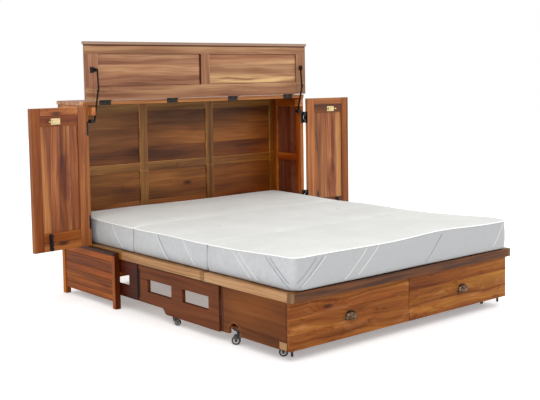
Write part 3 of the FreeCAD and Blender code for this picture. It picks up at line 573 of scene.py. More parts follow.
def wing_marks(turn, s):
    """The inner rails of the wing frame sit back and are darker, with fine dark joints."""
    def f(N, col):
        x, y, z = N.xyz
        cx, cy, ang = turn
        px, py = N.sub(x, cx), N.sub(y, cy)
        u = N.mul(N.add(N.mul(px, math.cos(ang)), N.mul(py, math.sin(ang))), float(s))
        between = N.inside(u, [(0.0590, 0.2920)])
        low = N.mul(between, N.inside(z, [(0.3762, 0.4305)]))
        high = N.mul(between, N.inside(z, [(1.0175, 1.0738)]))
        col = N.mix(low, col, N.hsv(col, 0.494, 1.08, 0.62))
        col = N.mix(high, col, N.hsv(col, 0.492, 1.16, 0.56))
        col = N.mix(N.gt(u, 0.2920), col, N.hsv(col, 0.494, 1.14, 0.64))
        rails = N.math("MINIMUM", N.add(N.lt(z, 0.4305), N.gt(z, 1.0175)), 1.0)
        j1 = N.mul(near(N, u, (0.0590, 0.2920), 0.0011), rails)
        j2 = N.mul(near(N, z, (0.3760, 1.0740), 0.0014), between)
        j = N.math("MINIMUM", N.add(j1, j2), 1.0)
        col = N.mix(N.mul(j, 0.8), col, N.hsv(col, 0.48, 1.15, 0.32))
        # outermost edge strip of the hinge side is pale
        strip = N.lt(u, 0.0075)
        return N.mix(N.mul(strip, 0.55), col, N.hsv(col, 0.505, 0.9, 1.35))
    return f


def board_marks(turn, s, edges):
    def f(N, col):
        x, y, z = N.xyz
        cx, cy, ang = turn
        px, py = N.sub(x, cx), N.sub(y, cy)
        u = N.add(N.mul(px, math.cos(ang)), N.mul(py, math.sin(ang)))
        col = N.mix(N.mul(near(N, u, edges, 0.0010), 0.8), col, N.hsv(col, 0.48, 1.15, 0.32))
        # one large dark knot with curling grain in a middle board
        ku, kz = (0.150 * s, 0.735) if s < 0 else (0.205, 0.560)
        du = N.mul(N.sub(u, ku), 22.0)
        n = N.noise(N.comb(N.mul(u, 30.0), N.mul(z, 9.0), 0.0), 1.0, 3.0, 0.6)
        dz = N.mul(N.sub(z, kz), 6.2)
        d = N.add(N.add(N.mul(du, du), N.mul(dz, dz)), N.mul(N.sub(n, 0.5), 1.5))
        col = N.mix(N.mul(N.smooth(d, 1.15, 0.0), 0.85), col, N.hsv(col, 0.478, 1.15, 0.42))
        sz = N.mul(N.sub(z, kz + 0.22), 3.6)
        su = N.mul(N.sub(u, ku + 0.012 * s), 60.0)
        d2 = N.add(N.add(N.mul(su, su), N.mul(sz, sz)), N.mul(N.sub(n, 0.5), 1.2))
        return N.mix(N.mul(N.smooth(d2, 1.1, 0.1), 0.8), col, N.hsv(col, 0.478, 1.15, 0.36))
    return f


for s, side in ((-1, "left"), (1, "right")):
    m_draw[side] = wood("wood_drawer_" + side, *DRAW, along("x", "z", (0.128, 0.205), 80.0 + s * 3.0), knots=0.7,
                        figure=2.2, tint=0.12, width=1.7, line=0.5, streak=0.75, extra=draw_marks, spec=0.10, coat=0.0)
    turn = (s * 0.820, YS - 0.321, -L5 * s)
    uspan = [(0.0, 0.0592), (0.2918, 0.40)] if s > 0 else [(-0.40, -0.2918), (-0.0592, 0.0)]
    mf = wood("wood_wing_frame_" + side, *WING,
              framed("x", stiles=uspan, seed=100.0 + s * 7.0, cuts_h=(s * 0.15,), cuts_z=(0.3762, 0.6, 1.0738),
                     turn=turn), knots=0.2, tint=0.22, extra=wing_marks(turn, s))
    edges = [0.110, 0.181, 0.236] if s > 0 else [-0.236, -0.181, -0.110]

    def wing_boards(N, turn=turn, edges=edges, s=s):
        x, y, z = N.xyz
        cx, cy, ang = turn
        px, py = N.sub(x, cx), N.sub(y, cy)
        ca, sa = math.cos(ang), math.sin(ang)
        hx = N.add(N.mul(px, ca), N.mul(py, sa))
        th = N.sub(N.mul(py, ca), N.mul(px, sa))
        return z, hx, th, N.add(N.steps(hx, edges), 120.0 + s * 11.0)

    mp = wood("wood_wing_panel_" + side, *PANEL, wing_boards, knots=0.5, tint=0.26, figure=1.4, streak=0.85,
              extra=board_marks(turn, s, edges))
    finish_node("wing_frame_" + side, mf, 0.0016)
    finish_node("wing_panel_" + side, mp, 0.0016)
    finish_node("drawer_front_" + side, m_draw[side], 0.0018)
    finish_node("drawer_box_" + side, m_box, 0.001)

finish_node("base_legs", m_legs, 0.003)
finish_node("base_panels", m_planks, 0.001)
finish_node("base_rails", m_caps, 0.002)
finish_node("upper_side_frames", m_side_frame, 0.0016)
finish_node("upper_side_panels", m_side_panel, 0.001)
finish_node("back_frame", m_back_frame, 0.002)
finish_node("back_panels", m_back_panel, 0.001)
finish_node("fixed_top", m_top, 0.003, 3)
finish_node("stop_blocks", m_stop, 0.003, 3)
finish_node("lid_frame", m_lid_frame, 0.0016)
finish_node("lid_panels", m_lid_panel, 0.001)
for k, m in m_deck.items():
    finish_node(k, m, 0.002)
for s, side in ((-1, "left"), (1, "right")):
    finish_node("gate_rear_" + side, m_gate_rear, 0.0016)
    finish_node("gate_front_" + side, m_gate_front, 0.0016)
finish_node("unit_carcass", m_unit, 0.0015)
finish_node("unit_blocks", m_ublock, 0.001)

# ------------------------------------------------------------------ metal
m_black = metal("black_iron", (26, 24, 23), (44, 41, 39), 0.40, 0.6, 0.6, 160.0).m
m_brass = metal("pale_brass", (206, 186, 138), (228, 208, 160), 0.34, 0.85, 0.4, 90.0).m
m_bronze = metal("antique_bronze", (78, 60, 46), (124, 100, 76), 0.22, 1.0, 0.5, 60.0).m
m_zinc = metal("castor_zinc", (40, 39, 38), (92, 90, 88), 0.36, 0.9, 0.5, 80.0).m
m_screw = metal("screw_heads", (70, 68, 66), (104, 100, 96), 0.35, 1.0, 0.3, 300.0).m
for n in ("cabinet_hardware", "lid_hardware", "stay_upper_left", "stay_upper_right", "stay_lower_left",
          "stay_lower_right", "wing_hardware_left", "wing_hardware_right", "barrel_bolt_left", "barrel_bolt_right",
          "unit_hardware"):
    finish_node(n, m_black, 0.0005, 2)
for n in ("latch_plate_left", "latch_plate_right", "latch_bolt_left", "latch_bolt_right"):
    finish_node(n, m_brass, 0.0006, 2)


def wheel_material(name, centre, axis, radius):
    """Dark tyre and light hub, told apart by the distance from the axle."""
    N = Mat(name)
    n = N.nt.nodes.new("ShaderNodeVectorMath")
    n.operation = "SUBTRACT"
    N.put(n.inputs[0], N.obj)
    n.inputs[1].default_value = centre
    rel = n.outputs[0]
    t = N.dot(rel, axis)
    ln = N.nt.nodes.new("ShaderNodeVectorMath")
    ln.operation = "LENGTH"
    N.put(ln.inputs[0], rel)
    rr = N.math("SQRT", N.math("MAXIMUM", N.sub(N.mul(ln.outputs["Value"], ln.outputs["Value"]), N.mul(t, t)), 0.0))
    hub = N.lt(rr, radius * 0.62)
    bore = N.lt(rr, radius * 0.30)
    grime = N.noise(N.obj, 220.0, 3.0, 0.6)
    tyre = N.mix(grime, lin((34, 33, 34)), lin((66, 64, 63)))
    grey = N.mix(grime, lin((150, 148, 144)), lin((206, 204, 200)))
    col = N.mix(hub, tyre, grey)
    col = N.mix(bore, col, lin((58, 56, 54)))
    N.set(Base_Color=col)
    N.set(Roughness=N.mixf(hub, N.add(0.55, N.mul(grime, 0.2)), 0.38))
    N.bump(N.add(grime, N.mul(hub, 0.5)), 0.2, 0.0005)
    return N.m


for s, side in ((-1, "left"), (1, "right")):
    for nm, cx, cy, rad, trail, sw in (("unit_rear", 0.742, -1.650, 0.022, 0.016, -45.0),
                                       ("unit_front", 0.702, -1.960, 0.022, 0.016, -45.0),
                                       ("gate", 0.764, -1.128, 0.017, 0.013, 135.0)):
        a = math.radians(s * sw)
        c = (s * cx - math.sin(a) * trail, cy + YS + math.cos(a) * trail, rad)
        ax = (math.cos(a), math.sin(a), 0.0)
        finish_node("castor_wheel_%s_%s" % (nm, side), wheel_material("wheel_%s_%s" % (nm, side), c, ax, rad), 0.0006, 2)
        finish_node("castor_fork_%s_%s" % (nm, side), m_zinc, 0.0005, 2)


# ------------------------------------------------------------------ mesh helpers
def new_object(name, bm, smooth=True, mat=None):
    me = bpy.data.meshes.new(name)
    bm.normal_update()
    bm.to_mesh(me)
    bm.free()
    o = bpy.data.objects.new(name, me)
    SC.collection.objects.link(o)
    for p in me.polygons:
        p.use_smooth = smooth
    if mat:
        me.materials.append(mat)
    return o


def tube(bm, pts, radius, sides=8, closed=False, flat=None):
    """A round tube through points; flat is not used."""
    n = len(pts)
    rings = []
    prev = None
    for i, p in enumerate(pts):
        q0 = pts[(i - 1) % n] if closed or i > 0 else pts[i]
        q1 = pts[(i + 1) % n] if closed or i < n - 1 else pts[i]
        d = (q1 - q0).normalized()
        up = Vector((0, 0, 1)) if abs(d.z) < 0.9 else Vector((1, 0, 0))
        if prev is not None:
            up = prev
        u = (up - d * up.dot(d)).normalized()
        v = d.cross(u).normalized()
        prev = u
        r = radius
        if not closed and (i == 0 or i == n - 1):
            r = radius * 0.45
        rings.append([bm.verts.new(p + (u * math.cos(t) + v * math.sin(t)) * r)
                      for t in [2 * math.pi * k / sides for k in range(sides)]])
    m = n if closed else n - 1
    for i in range(m):
        a, b = rings[i], rings[(i + 1) % n]
        for k in range(sides):
            bm.faces.new((a[k], a[(k + 1) % sides], b[(k + 1) % sides], b[k]))
    if not closed:
        bm.faces.new(list(reversed(rings[0])))
        bm.faces.new(rings[-1])


# ------------------------------------------------------------------ cup pulls
def cup_pull(name, cx, body, node, cz=0.156, yf=YS - 2.069):
    """A cup pull: a thin domed shell, open below, with a short skirt, a bead round it and two ears."""
    bm = bmesh.new()
    W, H, D, S = 0.0345, 0.0262, 0.0232, 0.0120
    t = 0.0016
    nphi = 28
    rows = [(math.cos(th), math.sin(th)) for th in [math.radians(90 - 90 * k / 12.0) for k in range(13)]]

    def shell(w, h, d, skirt):
        grid = []
        for rho, hz in rows:
            grid.append((max(rho, 0.02), h * hz))
        for k in range(1, 4):
            q = k / 3.0
            grid.append((1.0 - 0.035 * q * q, -skirt * q))
        out = []
        for rho, z in grid:
            line = []
            for i in range(nphi + 1):
                phi = -math.pi / 2 + math.pi * i / nphi
                line.append(bm.verts.new((cx + w * rho * math.sin(phi), yf - 0.0004 - d * rho * math.cos(phi) ** 0.8,
                                          cz + z)))
            out.append(line)
        return out

    a = shell(W, H, D, S)
    b = shell(W - t, H - t, D - t, S)
    for i in range(len(a) - 1):
        for k in range(nphi):
            bm.faces.new((a[i][k], a[i][k + 1], a[i + 1][k + 1], a[i + 1][k]))
            bm.faces.new((b[i + 1][k], b[i + 1][k + 1], b[i][k + 1], b[i][k]))
    for k in range(nphi):
        bm.faces.new((a[-1][k], a[-1][k + 1], b[-1][k + 1], b[-1][k]))
        bm.faces.new((a[0][k + 1], a[0][k], b[0][k], b[0][k + 1]))
    for i in range(len(a) - 1):
        bm.faces.new((a[i][0], a[i + 1][0], b[i + 1][0], b[i][0]))
        bm.faces.new((a[i + 1][nphi], a[i][nphi], b[i][nphi], b[i + 1][nphi]))
    bmesh.ops.recalc_face_normals(bm, faces=bm.faces)
    o = new_object(name, bm, True, m_bronze)
    bm2 = bmesh.new()
    bead = [Vector((cx - W, yf - 0.0012, cz - S * (1 - k / 3.0))) for k in range(3)]
    bead += [Vector((cx - W * math.cos(math.pi * i / 24.0), yf - 0.0012, cz + H * math.sin(math.pi * i / 24.0)))
             for i in range(25)]
    bead += [Vector((cx + W, yf - 0.0012, cz - S * (k + 1) / 3.0)) for k in range(3)]
    tube(bm2, bead, 0.0017, 8)
    lip = [Vector((cx - W * 0.965 * math.cos(math.pi * i / 24.0),
                   yf - 0.0008 - D * 0.965 * math.sin(math.pi * i / 24.0) ** 0.8, cz - S)) for i in range(25)]
    tube(bm2, lip, 0.0013, 8)
    for sx in (-1, 1):
        r = 0.0058
        top = [bm2.verts.new((cx + sx * (W + 0.002) + r * math.cos(q), yf - 0.0016, cz - 0.004 + r * math.sin(q)))
               for q in [2 * math.pi * k / 20 for k in range(20)]]
        low = [bm2.verts.new((v.co.x, yf - 0.0001, v.co.z)) for v in top]
        bm2.faces.new(top)
        for k in range(20):
            bm2.faces.new((top[k], low[k], low[(k + 1) % 20], top[(k + 1) % 20]))
        dome = [bm2.verts.new((cx + sx * (W + 0.003) + 0.0022 * math.cos(q), yf - 0.0028,
                               cz - 0.004 + 0.0022 * math.sin(q))) for q in [2 * math.pi * k / 16 for k in range(16)]]
        foot = [bm2.verts.new((cx + sx * (W + 0.003) + 0.0030 * math.cos(q), yf - 0.0015,
                               cz - 0.004 + 0.0030 * math.sin(q))) for q in [2 * math.pi * k / 16 for k in range(16)]]
        bm2.faces.new(dome)
        for k in range(16):
            bm2.faces.new((dome[k], foot[k], foot[(k + 1) % 16], dome[(k + 1) % 16]))
    bmesh.ops.recalc_face_normals(bm2, faces=bm2.faces)
    o2 = new_object(name + "_bead", bm2, True, m_bronze)
    for q in (o, o2):
        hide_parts(node)
        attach(q, body)
    return o


for s, side in ((-1, "left"), (1, "right")):
    cup_pull("cup_pull_" + side, s * 0.404, "drawer_" + side, "drawer_pull_" + side)


# ------------------------------------------------------------------ screws
def screws(name, body, spots, r=0.0032):
    """Countersunk screw heads: (point, outward normal)."""
    bm = bmesh.new()
    for p, n in spots:
        p, n = Vector(p), Vector(n).normalized()
        u = n.orthogonal().normalized()
        v = n.cross(u)
        rings = []
        for rad, h in ((r, -0.0004), (r, 0.0002), (r * 0.82, 0.0006), (r * 0.3, 0.00075)):
            rings.append([bm.verts.new(p + n * h + (u * math.cos(t) + v * math.sin(t)) * rad)
                          for t in [2 * math.pi * k / 14 for k in range(14)]])
        for a, b in zip(rings, rings[1:]):
            for k in range(14):
                bm.faces.new((a[k], a[(k + 1) % 14], b[(k + 1) % 14], b[k]))
        bm.faces.new(rings[-1])
    bmesh.ops.recalc_face_normals(bm, faces=bm.faces)
    o = new_object(name, bm, True, m_screw)
    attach(o, body)
    return o


spots_root, spots_lid = [], []
for hx in (-0.678, -0.226, 0.226, 0.678):
    for dx in (-0.028, 0.0, 0.028):
        spots_root.append(((hx + dx, YS - 0.320, 1.133), (0, -1, 0)))
for s in (-1, 1):
    for zc in (0.457, 0.990):
        for dz in (-0.028, 0.0, 0.028):
            spots_root.append(((s * 0.801, YS - 0.320, zc + dz), (0, -1, 0)))
screws("screws_cabinet", "root", spots_root)
for s, side in ((-1, "left"), (1, "right")):
    ca, sa = math.cos(-L5 * s), math.sin(-L5 * s)

    def wp(u, v, z, s=s, ca=ca, sa=sa):
        return (s * 0.820 + u * s * ca - v * sa, YS - 0.321 + u * s * sa + v * ca, z)

    def wn(u, v, s=s, ca=ca, sa=sa):
        return (u * s * ca - v * sa, u * s * sa + v * ca, 0.0)

    sp = []
    for zc in (0.457, 0.990):
        for dz in (-0.028, 0.0, 0.028):
            sp.append((wp(0.001, -0.020, zc + dz), wn(-1, 0)))
    for dx, dz in ((-0.008, 0.337), (0.008, 0.337), (-0.008, 0.354), (0.008, 0.354), (-0.008, 0.422), (0.008, 0.422)):
        sp.append((wp(0.248 + dx, -0.037, dz), wn(0, -1)))
    screws("screws_wing_" + side, "wing_" + side, sp, 0.0022)
    sp = [(wp(0.197 + dx, -0.033, dz), wn(0, -1)) for dx in (-0.025, 0.025) for dz in (1.030, 1.056)]
    o = screws("screws_latch_" + side, "wing_" + side, sp, 0.0022)
    o.data.materials[0] = m_brass

# ------------------------------------------------------------------ mattress
Z0, Z1 = 0.3262, 0.4695


def fabric(name, top=False):
    N = Mat(name)
    x, y, z = N.xyz
    # fine knit: small rows of loops, softened by noise
    k = 420.0
    w1 = N.math("SINE", N.mul(N.add(x, z), k * 2.0))
    w2 = N.math("SINE", N.mul(N.add(y, N.mul(z, 0.6)), k * 2.0))
    knit = N.mul(w1, w2)
    n1 = N.noise(N.obj, 36.0, 4.0, 0.6)
    n2 = N.noise(N.obj, 5.0, 2.0, 0.5)
    n3 = N.noise(N.obj, 900.0, 2.0, 0.6)
    base = N.mix(N.smooth(n2, 0.3, 0.7), lin((206, 207, 203)), lin((214, 215, 211)))
    base = N.mix(N.mul(N.smooth(n1, 0.35, 0.65), 0.25), base, lin((198, 199, 197)))
    base = N.mix(N.mul(N.smooth(knit, -1.0, 1.0), 0.06), base, lin((200, 200, 200)))
    # the border fabric is cooler than the sleeping surface, and painted darker as shade on the upright sides
    geo = N.nt.nodes.new("ShaderNodeNewGeometry")
    gx, gy, gz = N.sep(geo.outputs["True Normal"])
    side = N.smooth(gz, 0.62, 0.30)
    border = N.mix(N.smooth(n1, 0.3, 0.7), lin((176, 178, 180)), lin((184, 186, 188)))
    # darker towards the bottom
    border = N.mix(N.mul(N.smooth(z, 0.40, 0.335), 0.35), border, lin((160, 163, 168)))
    # painted shade on the side that faces the foot
    border = N.mix(N.mul(N.smooth(gy, -0.55, -0.95), 0.75), border, lin((158, 159, 160)))
    base = N.mix(side, base, border)
    N.set(Base_Color=base, Roughness=0.92)
    N.set(Sheen_Weight=0.25)
    N.set(Sheen_Roughness=0.5)
    N.set(Specular_IOR_Level=0.2)
    N.bump(N.add(N.add(N.mul(knit, 0.25), N.mul(n1, 1.2)), N.mul(n3, 0.3)), 0.30, 0.0012)
    return N.m


m_fabric = fabric("mattress_knit")


def thread(name, c1, c2):
    N = Mat(name)
    n = N.noise(N.obj, 700.0, 2.0, 0.6)
    N.set(Base_Color=N.mix(n, lin(c1), lin(c2)), Roughness=0.85)
    N.set(Sheen_Weight=0.2)
    N.bump(n, 0.4, 0.0004)
    return N.m


m_piping = thread("piping_white", (240, 240, 238), (250, 250, 248))
m_white = thread("thread_white", (212, 213, 214), (228, 229, 230))
m_grey = thread("thread_grey", (112, 118, 132), (142, 147, 158))


ZP = 0.4615          # height of the piped edge
HALF = 0.7605
SOFT_TOP = 0.0085


def ring_points(x0, x1, y0, y1, rf, rb, d):
    """Rounded outline set in by d, always with the same number of points in the same order."""
    x0, x1, y0, y1 = x0 + d, x1 - d, y0 + d, y1 - d
    if y1 < y0:
        y0 = y1 = 0.5 * (y0 + y1)
    rf = max(0.0, min(rf - d, 0.5 * (y1 - y0)))
    rb = max(0.0, min(rb - d, 0.5 * (y1 - y0)))
    pts = []

    def arc(cx, cy, r, a0, n=8):
        for i in range(n + 1):
            t = math.radians(a0 + 90.0 * i / n)
            pts.append((cx + r * math.cos(t), cy + r * math.sin(t)))

    def run(p, q, n):
        for i in range(1, n):
            pts.append((p[0] + (q[0] - p[0]) * i / n, p[1] + (q[1] - p[1]) * i / n))

    arc(x1 - rb, y1 - rb, rb, 0)
    run((x1 - rb, y1), (x0 + rb, y1), 70)
    arc(x0 + rb, y1 - rb, rb, 90)
    run((x0, y1 - rb), (x0, y0 + rf), 32)
    arc(x0 + rf, y0 + rf, rf, 180)
    run((x0 + rf, y0), (x1 - rf, y0), 70)
    arc(x1 - rf, y0 + rf, rf, 270)
    run((x1, y0 + rf), (x1, y1 - rb), 32)
    return pts


def fade(v, a, b):
    t = max(0.0, min(1.0, (v - a) / (b - a)))
    return t * t * (3 - 2 * t)


def warp(c, key):
    """The cover is not perfectly flat: it rises at the foot, at the head and where it is slack."""
    up = max(0.0, (c.z - Z0) / (ZP - Z0))
    lift = 0.0
    if key == "foot":
        t = fade(YS - 1.50 - c.y, 0.0, 0.50)
        lift = 0.017 * t + 0.012 * t * math.exp(-((c.x - 0.22) / 0.25) ** 2)
        if c.x > 0.4:
            c.x += 0.014 * t * fade(c.x, 0.4, 0.76)
    elif key == "head":
        lift = 0.010 * fade(c.y, YS - 0.66, YS - 0.22)
    lift += 0.0022 * math.sin(c.x * 6.0 + c.y * 4.1) * math.sin(c.y * 8.3 - c.x * 2.2)
    c.z += lift * min(1.0, up)
    return c


def apply_all(o):
    dg = bpy.context.evaluated_depsgraph_get()
    me = bpy.data.meshes.new_from_object(o.evaluated_get(dg), depsgraph=dg)
    old = o.data
    o.modifiers.clear()
    o.data = me
    bpy.data.meshes.remove(old)
    for p in me.polygons:
        p.use_smooth = True


def puff(o, cap, frames, pressure, pins):
    """Blow the cover up slightly as cloth, pinned at its seams, and cap how far each point moves."""
    start = [v.co.copy() for v in o.data.vertices]
    vg = o.vertex_groups.new(name="pins")
    for i, c in enumerate(start):
        if pins(c):
            vg.add([i], 1.0, "REPLACE")
    cl = o.modifiers.new("cloth", "CLOTH")
    st = cl.settings
    st.quality = 5
    st.mass = 0.3
    st.tension_stiffness = 15.0
    st.compression_stiffness = 15.0
    st.shear_stiffness = 8.0
    st.bending_stiffness = 2.5
    st.use_pressure = True
    st.uniform_pressure_force = pressure
    st.effector_weights.gravity = 0.0
    st.vertex_group_mass = "pins"
    cl.collision_settings.use_collision = False
    cl.point_cache.frame_start = 1
    cl.point_cache.frame_end = frames
    for fr in range(1, frames + 1):
        SC.frame_set(fr)
    dg = bpy.context.evaluated_depsgraph_get()
    got = [v.co.copy() for v in o.evaluated_get(dg).data.vertices]
    o.modifiers.clear()
    for i, v in enumerate(o.data.vertices):
        d = got[i] - start[i]
        if d.length > cap:
            d *= cap / d.length
        v.co = start[i] + d
    SC.frame_set(1)


def section(key, name, node, body, y_front, y_back, rf, rb, soft_front, soft_back):
    """One mattress section: firm foam with upright sides, a piped top edge and a crowned top."""
    half_depth = 0.5 * (y_back - y_front)
    rows = [(half_depth, Z0), (0.24, Z0), (0.15, Z0), (0.08, Z0), (0.03, Z0), (0.010, Z0 + 0.0006),
            (0.0035, Z0 + 0.004), (0.0006, Z0 + 0.010)]
    n = 9
    for i in range(1, n + 1):
        q = i / (n + 1.0)
        rows.append((-0.0030 * math.sin(math.pi * q), Z0 + 0.010 + (ZP - 0.016 - Z0) * q))
    rows += [(0.0012, ZP - 0.0045), (0.0, ZP), (0.0045, ZP + 0.0022), (0.012, ZP + 0.003), (0.026, ZP + 0.003),
             (0.050, ZP + 0.003), (0.085, ZP + 0.003), (0.13, ZP + 0.003), (0.18, ZP + 0.003), (0.24, ZP + 0.003),
             (0.29, ZP + 0.003), (half_depth, ZP + 0.003)]
    bm = bmesh.new()
    rings = []
    for d, z in rows:
        rings.append([bm.verts.new((x, y, z)) for x, y in ring_points(-HALF, HALF, y_front, y_back, rf, rb, d)])
    k = len(rings[0])
    for a, b in zip(rings, rings[1:]):
        for i in range(k):
            j = (i + 1) % k
            bm.faces.new((a[i], a[j], b[j], b[i]))
    bmesh.ops.remove_doubles(bm, verts=bm.verts, dist=0.00008)
    for v in bm.verts:
        # joint faces stay plane, so that the sections meet without cutting into each other
        if not soft_front:
            v.co.y = max(v.co.y, y_front)
        if not soft_back:
            v.co.y = min(v.co.y, y_back)
        if v.co.z > ZP + 0.0008:
            ds = [HALF - abs(v.co.x)]
            if soft_front:
                ds.append(v.co.y - y_front)
            elif key == "head":
                ds.append(2.2 * (v.co.y - y_front))
            if soft_back:
                ds.append(y_back - v.co.y)
            elif key == "middle":
                ds.append(2.2 * (y_back - v.co.y))
            v.co.z += SOFT_TOP * (1.0 - math.exp(-max(0.0, min(ds)) / 0.045))
    bmesh.ops.recalc_face_normals(bm, faces=bm.faces)
    o = new_object(name, bm, True, m_fabric)

    def pins(c):
        if abs(c.z - ZP) < 0.0012:
            return True
        if c.z < Z0 + 0.0012:
            return True
        return (not soft_front and c.y < y_front + 0.002) or (not soft_back and c.y > y_back - 0.002)

    puff(o, 0.0040, 10, 2.2, pins)
    sub = o.modifiers.new("sub", "SUBSURF")
    sub.levels = 1
    sub.render_levels = 1
    apply_all(o)
    norms = [v.normal.copy() for v in o.data.vertices]
    for v, nx in zip(o.data.vertices, norms):
        c = v.co.copy()
        wall = 1.0 - abs(nx.z)
        s1 = math.sin(c.x * 9.1 + c.y * 5.3) * math.sin(c.y * 7.7 - c.x * 3.1)
        s2 = math.sin(c.x * 19.0 - c.z * 42.0 + c.y * 15.0)
        c = c + nx * (0.0008 * s1 + 0.0008 * wall * s2)
        if not soft_front:
            c.y = max(c.y, y_front - 0.0004)
        if not soft_back:
            c.y = min(c.y, y_back + 0.0004)
        c.z = max(c.z, Z0 + 0.0002)
        v.co = warp(c, key)
    o.data.update()
    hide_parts(node)
    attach(o, body)
    return o, (y_front, y_back, rf, rb, soft_front, soft_back)


def project(bvh, p, d):
    hit = bvh.ray_cast(Vector(p), Vector(d))
    return hit[0]


def stitched(name, o, body, lines, mat, r=0.0015):
    """Sewn lines laid on the surface: each is (face, start, end) on the side or foot face."""
    dg = bpy.context.evaluated_depsgraph_get()
    bvh = BVHTree.FromObject(o, dg)
    bm = bmesh.new()
    made = 0
    for face, (a0, z0), (a1, z1) in lines:
        pts = []
        for i in range(25):
            t = i / 24.0
            a, z = a0 + (a1 - a0) * t, z0 + (z1 - z0) * t
            z += 0.002 * math.sin(t * math.pi)
            if face == "left":
                h = project(bvh, (-1.2, a, z), (1, 0, 0))
                off = Vector((-0.0002, 0, 0))
            elif face == "right":
                h = project(bvh, (1.2, a, z), (-1, 0, 0))
                off = Vector((0.0002, 0, 0))
            elif face == "foot":
                h = project(bvh, (a, -1.6, z), (0, 1, 0))
                off = Vector((0, -0.0002, 0))
            else:
                h = project(bvh, (a, 1.6, z), (0, -1, 0))
                off = Vector((0, 0.0002, 0))
            if h is not None:
                pts.append(h + off)
        if len(pts) > 6:
            tube(bm, pts, r, 6)
            made += 1
    if not made:
        bm.free()
        return
    q = new_object(name, bm, True, mat)
    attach(q, body)


def piping(key, body, spec, r=0.0026):
    """The white corded edge round the top of a section."""
    y_front, y_back, rf, rb, soft_front, soft_back = spec
    path = []
    for x, y in ring_points(-HALF, HALF, y_front, y_back, rf, rb, -0.0010):
        if not soft_front:
            y = max(y, y_front + r)
        if not soft_back:
            y = min(y, y_back - r)
        path.append(Vector((x, y, ZP + 0.0006)))
    closed = True
    gone = None
    if key == "middle":
        gone = [p.y < y_front + 0.004 and abs(p.x) < HALF - 0.010 for p in path]
    elif key == "foot":
        gone = [p.y > y_back - 0.004 and abs(p.x) < HALF - 0.010 for p in path]
    if gone:
        first = next(i for i in range(len(path)) if gone[i - 1] and not gone[i])
        path = [path[(first + i) % len(path)] for i in range(len(path)) if not gone[(first + i) % len(path)]]
        closed = False
    # thin out points that fall on each other
    keep = [path[0]]
    for p in path[1:]:
        if (p - keep[-1]).length > 0.0012:
            keep.append(p)
    path = [warp(p, key) for p in keep]
    bm = bmesh.new()
    tube(bm, path, r, 8, closed=closed)
    q = new_object("piping_" + key, bm, True, m_piping)
    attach(q, body)
    return q


SECT = {}
SECT["head"] = section("head", "mattress_head", "mattress_head_section", "root", YS - 0.7205, YS - 0.0585, 0.016,
                       0.045, False, True)
SECT["middle"] = section("middle", "mattress_middle", "mattress_middle_section", "mattress_middle", YS - 1.4165,
                         YS - 0.7235, 0.014, 0.016, False, False)
SECT["foot"] = section("foot", "mattress_foot", "mattress_foot_section", "mattress_foot", YS - 2.0895, YS - 1.4195,
                       0.060, 0.014, True, False)
BODY = {"head": "root", "middle": "mattress_middle", "foot": "mattress_foot"}
for key, (o, spec) in SECT.items():
    piping(key, BODY[key], spec)


def L(y0, z0, y1, z1):
    return (("left", (YS + y0, z0), (YS + y1, z1)), ("right", (YS + y0, z0), (YS + y1, z1)))


head_white = list(L(-0.508, 0.456, -0.617, 0.338))
head_grey = list(L(-0.292, 0.458, -0.355, 0.336)) + list(L(-0.172, 0.458, -0.262, 0.338))
mid_white = list(L(-0.960, 0.456, -1.068, 0.336)) + list(L(-1.215, 0.456, -1.318, 0.338))
mid_grey = list(L(-0.978, 0.456, -1.090, 0.336))
foot_white = list(L(-1.638, 0.458, -1.775, 0.341)) + list(L(-1.683, 0.458, -1.828, 0.341))
foot_grey = list(L(-1.885, 0.466, -2.052, 0.338)) + list(L(-1.918, 0.466, -2.050, 0.362))
foot_white += [("foot", (-0.720, 0.345), (-0.570, 0.470)), ("foot", (-0.458, 0.336), (-0.311, 0.470)),
               ("foot", (-0.372, 0.350), (-0.230, 0.472)), ("foot", (0.634, 0.350), (0.728, 0.470))]
foot_grey += [("foot", (-0.738, 0.364), (-0.628, 0.470)), ("foot", (-0.728, 0.340), (-0.588, 0.470)),
              ("foot", (0.099, 0.343), (0.222, 0.475))]
stitched("stitch_head_white", SECT["head"][0], "root", head_white, m_white)
stitched("stitch_head_grey", SECT["head"][0], "root", head_grey, m_grey)
stitched("stitch_middle_white", SECT["middle"][0], "mattress_middle", mid_white, m_white)
stitched("stitch_middle_grey", SECT["middle"][0], "mattress_middle", mid_grey, m_grey)
stitched("stitch_foot_white", SECT["foot"][0], "mattress_foot", foot_white, m_white)
stitched("stitch_foot_grey", SECT["foot"][0], "mattress_foot", foot_grey, m_grey)

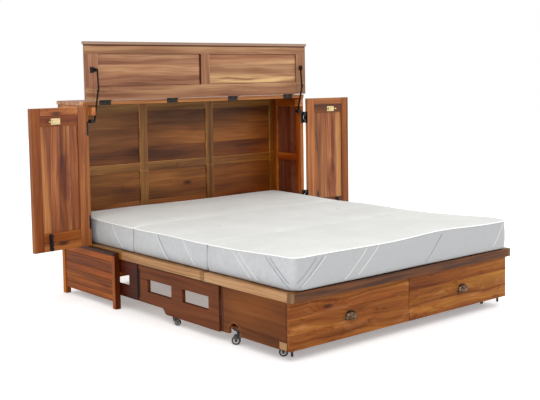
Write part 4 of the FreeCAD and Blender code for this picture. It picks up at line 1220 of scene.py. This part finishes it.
# ------------------------------------------------------------------ floor, light, camera
bm = bmesh.new()
s = 14.0
vs = [bm.verts.new(p) for p in ((-s, -s, 0), (s, -s, 0), (s, s, 0), (-s, s, 0))]
bm.faces.new(vs)
N = Mat("floor")
n = N.noise(N.obj, 3.0, 3.0, 0.5)
N.set(Base_Color=N.mix(n, (0.90, 0.90, 0.90, 1), (0.93, 0.93, 0.93, 1)), Roughness=0.9)
N.set(Specular_IOR_Level=0.1)
N.set(Emission_Color=(1.0, 1.0, 1.0, 1.0), Emission_Strength=0.30)
floor = new_object("floor", bm, False, N.m)
floor.location.z = -0.0004

w = bpy.data.worlds.new("studio")
SC.world = w
w.use_nodes = True
bg = w.node_tree.nodes["Background"]
bg.inputs[0].default_value = (1.0, 1.0, 1.0, 1.0)
bg.inputs[1].default_value = 1.0


def area(name, loc, target, size, power, color=(1, 1, 1)):
    d = bpy.data.lights.new(name, "AREA")
    d.shape = "RECTANGLE"
    d.size, d.size_y = size
    d.energy = power
    d.color = color
    o = bpy.data.objects.new(name, d)
    SC.collection.objects.link(o)
    o.location = loc
    o.rotation_euler = (Vector(target) - Vector(loc)).to_track_quat("-Z", "Y").to_euler()
    return o


area("key", (-3.2, -4.6, 4.4), (0.0, 0.2, 0.5), (3.0, 2.4), 92.0, (1.0, 0.985, 0.96))
area("fill", (4.4, -4.2, 3.0), (0.2, 0.0, 0.5), (3.5, 3.0), 26.0, (0.97, 0.985, 1.0))
area("top", (0.0, -0.8, 5.2), (0.0, 0.0, 0.4), (4.5, 4.5), 34.0)

yaw, pitch, roll = math.radians(-43.13), math.radians(-4.80), math.radians(-0.51)
fw = Vector((-math.sin(yaw) * math.cos(pitch), math.cos(yaw) * math.cos(pitch), math.sin(pitch)))
rt = Vector((math.cos(yaw), math.sin(yaw), 0.0))
up = rt.cross(fw)
r2 = rt * math.cos(roll) + up * math.sin(roll)
u2 = up * math.cos(roll) - rt * math.sin(roll)
cam_d = bpy.data.cameras.new("camera")
cam = bpy.data.objects.new("camera", cam_d)
SC.collection.objects.link(cam)
cam.matrix_world = Matrix(((r2.x, u2.x, -fw.x, -138.68 * 0.0254), (r2.y, u2.y, -fw.y, -212.86 * 0.0254 + YS),
                           (r2.z, u2.z, -fw.z, 52.15 * 0.0254), (0, 0, 0, 1)))
cam_d.sensor_width = 36.0
cam_d.lens = 985.09 / 540.0 * 36.0
cam_d.shift_x = (270.0 - 350.0) / 540.0
cam_d.shift_y = (150.0 - 200.0) / 540.0
cam_d.clip_start, cam_d.clip_end = 0.1, 60.0
SC.camera = cam
